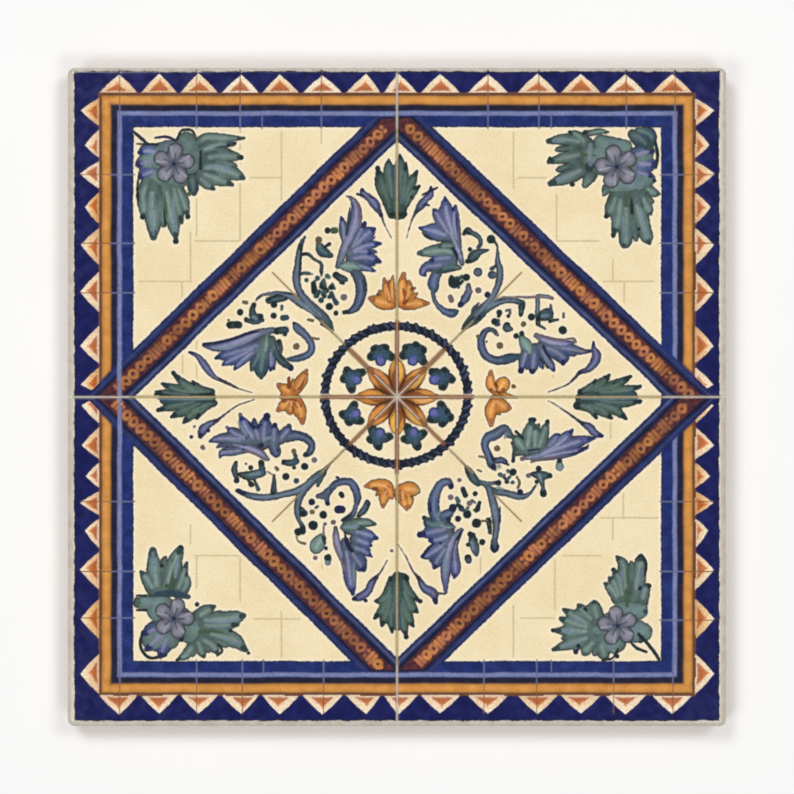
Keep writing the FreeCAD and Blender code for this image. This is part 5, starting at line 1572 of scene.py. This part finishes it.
def make_glaze(material):
    """The painted glaze over the face and down to its hem on the sides, in the four quarters of the cross."""
    half = surface_lines()
    lines = np.concatenate([-half[:0:-1], half])
    painting = paint_tile(lines, lines)
    x, y, z = glaze_surface(*np.meshgrid(lines, lines))
    z = z + relief(painting)
    middle = len(half) - 1
    sides = {"left": slice(None, middle + 1), "right": slice(middle, None)}
    depths = {"near": slice(None, middle + 1), "far": slice(middle, None)}
    for depth, rows in depths.items():
        for side, columns in sides.items():
            glaze_quarter(f"glaze_{depth}_{side}", painting, (rows, columns), (x, y, z), material)


class Nodes:
    """A short way to write a material's nodes."""

    def __init__(self, name):
        self.material = bpy.data.materials.new(name)
        self.material.use_nodes = True
        self.tree = self.material.node_tree
        self.shader = self.tree.nodes["Principled BSDF"]
        self.place = self.add("ShaderNodeTexCoord").outputs["Object"]

    def add(self, kind, inputs=(), **settings):
        """A new node with some of its inputs linked or set."""
        node = self.tree.nodes.new(kind)
        for name, value in settings.items():
            setattr(node, name, value)
        for name, value in dict(inputs).items():
            self.give(node.inputs[name], value)
        return node

    def give(self, socket, value):
        """Links a node's output to a socket, or sets it to a plain value."""
        if isinstance(value, bpy.types.NodeSocket):
            self.tree.links.new(value, socket)
        elif hasattr(value, "__len__") and len(value) == 3 and socket.type == "RGBA":
            socket.default_value = (*value, 1.0)
        else:
            socket.default_value = value

    def stored(self, name, colour=False):
        """A value or colour that the mesh carries."""
        node = self.add("ShaderNodeAttribute", attribute_name=name)
        return node.outputs["Color" if colour else "Fac"]

    def noise(self, size, detail):
        """Noise whose features are about size millimetres wide."""
        inputs = {"Vector": self.place, "Scale": 1 / (size * MM), "Detail": detail}
        return self.add("ShaderNodeTexNoise", inputs).outputs["Fac"]

    def cells(self, size):
        """Scattered cells about size millimetres wide."""
        return self.add("ShaderNodeTexVoronoi", {"Vector": self.place, "Scale": 1 / (size * MM)}).outputs

    def ramp(self, value, low, high, start=0.0, end=1.0):
        """A value carried smoothly from the range low..high to start..end."""
        inputs = {"Value": value, "From Min": low, "From Max": high, "To Min": start, "To Max": end}
        return self.add("ShaderNodeMapRange", inputs, interpolation_type="SMOOTHSTEP").outputs["Result"]

    def maths(self, operation, first, second=0.0):
        node = self.add("ShaderNodeMath", operation=operation)
        self.give(node.inputs[0], first)
        self.give(node.inputs[1], second)
        return node.outputs[0]

    def mix(self, share, first, second, blend="MIX"):
        """A share of the second colour over the first."""
        node = self.add("ShaderNodeMix", data_type="RGBA", blend_type=blend)
        for socket, value in zip((node.inputs[0], node.inputs[6], node.inputs[7]), (share, first, second)):
            self.give(socket, value)
        return node.outputs[2]

    def scaled(self, colour, share):
        """A colour made darker or lighter by a share."""
        grey = self.add("ShaderNodeCombineColor", {"Red": share, "Green": share, "Blue": share}).outputs[0]
        return self.mix(1.0, colour, grey, "MULTIPLY")

    def finish(self, colour, roughness, height, strength, distance):
        """Gives the shader its colour and roughness, and bumps up to a distance in millimetres."""
        inputs = {"Height": height, "Strength": strength, "Distance": distance * MM}
        bumps = self.add("ShaderNodeBump", inputs).outputs["Normal"]
        for name, value in {"Base Color": colour, "Roughness": roughness, "Normal": bumps}.items():
            self.give(self.shader.inputs[name], value)


EDGE_SOFTNESS = {"wash": 0.22, "body": 0.2, "dark": 0.2, "light": 0.3, "scratch": 0.15}
EDGE_WOBBLE = {"wash": 0.45, "body": 0.35, "dark": 0.3, "light": 0.3, "scratch": 0.1}
OPACITY = {"wash": 1.0, "body": 1.0, "dark": 1.0, "light": 0.9, "scratch": 0.85}
DENSITY = {
    "wash": (0.8, 1.12), "body": (0.88, 1.06), "dark": (0.85, 1.05),
    "light": (0.9, 1.05), "scratch": (0.9, 1.0),
}
POOLED = tone(118, 120, 126)  # what multiplies a wash at its rim, where pigment gathers
HALO = tone(252, 243, 222)  # the cream beside the paint
BARE_RIM = (73.3, 73.8)  # from here to there, outwards, the cream gives way to a darker, greyer tone over the rounded rim and the sides


def glaze_material():
    """Cream tin glaze with the coats of paint fused into it: pooled edges, thin places and a glossy skin."""
    nodes = Nodes("painted_glaze")
    fine, medium, broad = nodes.noise(0.5, 3), nodes.noise(2.2, 4), nodes.noise(14.0, 3)
    axes = nodes.add("ShaderNodeSeparateXYZ", {"Vector": nodes.place}).outputs
    away = nodes.maths("MAXIMUM", *(nodes.maths("ABSOLUTE", axes[number]) for number in (0, 1)))
    cream = nodes.mix(nodes.ramp(broad, 0.35, 0.65), CREAM * 1.02, CREAM * np.array([0.97, 0.95, 0.9]))
    cream = nodes.mix(nodes.ramp(medium, 0.3, 0.75, 0, 0.25), cream, CREAM * np.array([1.04, 1.06, 1.12]))
    nearest = nodes.stored("wash_gap")
    for coat in ("body", "dark"):
        nearest = nodes.maths("MINIMUM", nearest, nodes.stored(f"{coat}_gap"))
    colour = nodes.mix(nodes.ramp(nearest, 0.0, 0.9, 0.55, 0.0), cream, HALO)
    bare = nodes.ramp(away, *(place * MM for place in BARE_RIM))
    rim_colour = nodes.mix(nodes.ramp(medium, 0.3, 0.7), RIM, RIM * np.array([0.86, 0.82, 0.76]))
    colour = nodes.mix(bare, colour, rim_colour)
    for coat in COATS:
        gap = nodes.stored(f"{coat}_gap")
        wobble = nodes.maths("MULTIPLY", nodes.maths("SUBTRACT", nodes.noise(0.9, 2), 0.5), EDGE_WOBBLE[coat])
        edge = nodes.maths("ADD", gap, wobble)
        soft = EDGE_SOFTNESS[coat]
        mask = nodes.ramp(edge, -soft, soft, 1.0, 0.0)
        density = nodes.ramp(medium if coat in ("wash", "body") else fine, 0.3, 0.68, *DENSITY[coat])
        pigment = nodes.scaled(nodes.stored(coat, colour=True), density)
        if coat in ("wash", "body"):
            pooled = nodes.mix(1.0, pigment, POOLED, "MULTIPLY")
            pigment = nodes.mix(nodes.ramp(gap, -0.6, -0.05, 0.0, 0.8), pigment, pooled)
        colour = nodes.mix(nodes.maths("MULTIPLY", mask, OPACITY[coat]), colour, pigment)
    colour = nodes.scaled(colour, nodes.ramp(fine, 0.25, 0.75, 0.94, 1.05))
    pits = nodes.ramp(nodes.cells(2.6)["Distance"], 0.0, 0.06, -0.25, 0.0)
    height = nodes.maths("ADD", nodes.maths("MULTIPLY", broad, 0.6), pits)
    nodes.finish(colour, nodes.ramp(medium, 0.3, 0.7, 0.14, 0.24), height, 0.3, 0.05)
    nodes.shader.inputs["IOR"].default_value = 1.5
    return nodes.material


def clay_material():
    """The fired earthenware of the sides and back: buff-pink, speckled with grog and open pores."""
    nodes = Nodes("fired_clay")
    broad, medium, fine = nodes.noise(22.0, 4), nodes.noise(2.5, 5), nodes.noise(0.35, 3)
    colour = nodes.mix(nodes.ramp(broad, 0.35, 0.65), tone(214, 172, 138), tone(198, 150, 118))
    colour = nodes.mix(nodes.ramp(medium, 0.35, 0.7, 0, 0.5), colour, tone(226, 190, 156))
    grog = nodes.cells(1.5)
    speck = nodes.ramp(grog["Distance"], 0.1, 0.22, 1.0, 0.0)
    chosen = nodes.add("ShaderNodeSeparateColor", {"Color": grog["Color"]}).outputs
    for channel, share, shade in ((0, 0.6, tone(140, 88, 62)), (1, 0.75, tone(238, 216, 190))):
        some = nodes.ramp(chosen[channel], share, share + 0.02)
        colour = nodes.mix(nodes.maths("MULTIPLY", speck, some), colour, shade)
    pores = nodes.ramp(nodes.cells(0.9)["Distance"], 0.02, 0.2, -0.8, 0.0)
    height = nodes.maths("ADD", nodes.maths("MULTIPLY", fine, 0.5), pores)
    height = nodes.maths("ADD", height, medium)
    nodes.finish(colour, nodes.ramp(fine, 0.3, 0.7, 0.78, 0.92), height, 0.5, 0.12)
    return nodes.material


def dress_body(material):
    """The clay body is the CAD node itself, with a material of its own."""
    node = frame["nodes"]["azulejo_tile"]
    node.data.materials.clear()
    node.data.materials.append(material)


FLOOR_SIDE = 6.0
VIEW_WIDTH = 0.1807  # width of what the camera sees at the face
LENS, SENSOR = 120.0, 36.0
WORLD_STRENGTH = 0.25
LAMP_DISTANCE, LAMP_ELEVATION, LAMP_SIZE = 1.4, 58.0, 0.45
LAMPS = (  # name, turn in degrees, watts
    ("key_light", 125, 6.2), ("left_light", 215, 4.1), ("right_light", 35, 4.7), ("low_light", 305, 3.7),
)


def make_floor():
    """A plain white floor."""
    nodes = Nodes("plain_floor")
    paper = nodes.mix(nodes.noise(40.0, 3), (0.9, 0.9, 0.895), (0.93, 0.93, 0.925))
    nodes.give(nodes.shader.inputs["Base Color"], paper)
    nodes.shader.inputs["Roughness"].default_value = 0.9
    nodes.shader.inputs["Specular IOR Level"].default_value = 0.0
    bpy.ops.mesh.primitive_plane_add(size=FLOOR_SIDE, location=(0, 0, cad_low[2]))
    floor = bpy.context.active_object
    floor.name = "floor"
    floor.data.materials.append(nodes.material)


def make_lamp(name, place, size, power):
    """A square soft light that faces the tile."""
    lamp = bpy.data.lights.new(name, "AREA")
    lamp.shape, lamp.size, lamp.energy = "SQUARE", size, power
    holder = bpy.data.objects.new(name, lamp)
    holder.location = place
    holder.rotation_euler = (-Vector(place)).to_track_quat("-Z", "Y").to_euler()
    bpy.context.scene.collection.objects.link(holder)


def make_lights():
    """Four soft lights high at the sides, where neither the view from above nor a low one sees them mirrored
    in the face, and a low even sky."""
    for name, turn, power in LAMPS:
        level, slant = math.radians(turn), math.radians(LAMP_ELEVATION)
        out, up = LAMP_DISTANCE * math.cos(slant), LAMP_DISTANCE * math.sin(slant)
        make_lamp(name, (out * math.cos(level), out * math.sin(level), up), LAMP_SIZE, power)
    world = bpy.data.worlds.new("studio")
    world.use_nodes = True
    backdrop = world.node_tree.nodes["Background"]
    backdrop.inputs["Color"].default_value = (1.0, 1.0, 1.0, 1.0)
    backdrop.inputs["Strength"].default_value = WORLD_STRENGTH
    bpy.context.scene.world = world


def make_camera():
    """A camera that looks straight down on the face, with +Y up in the picture."""
    camera = bpy.data.cameras.new("camera")
    camera.lens, camera.sensor_width = LENS, SENSOR
    holder = bpy.data.objects.new("camera", camera)
    holder.location = (0, 0, tile_high.z + VIEW_WIDTH * LENS / SENSOR)
    bpy.context.scene.collection.objects.link(holder)
    bpy.context.scene.camera = holder


make_glaze(glaze_material())
dress_body(clay_material())
make_floor()
make_lights()
make_camera()
bpy.context.scene.view_settings.view_transform = "Standard"
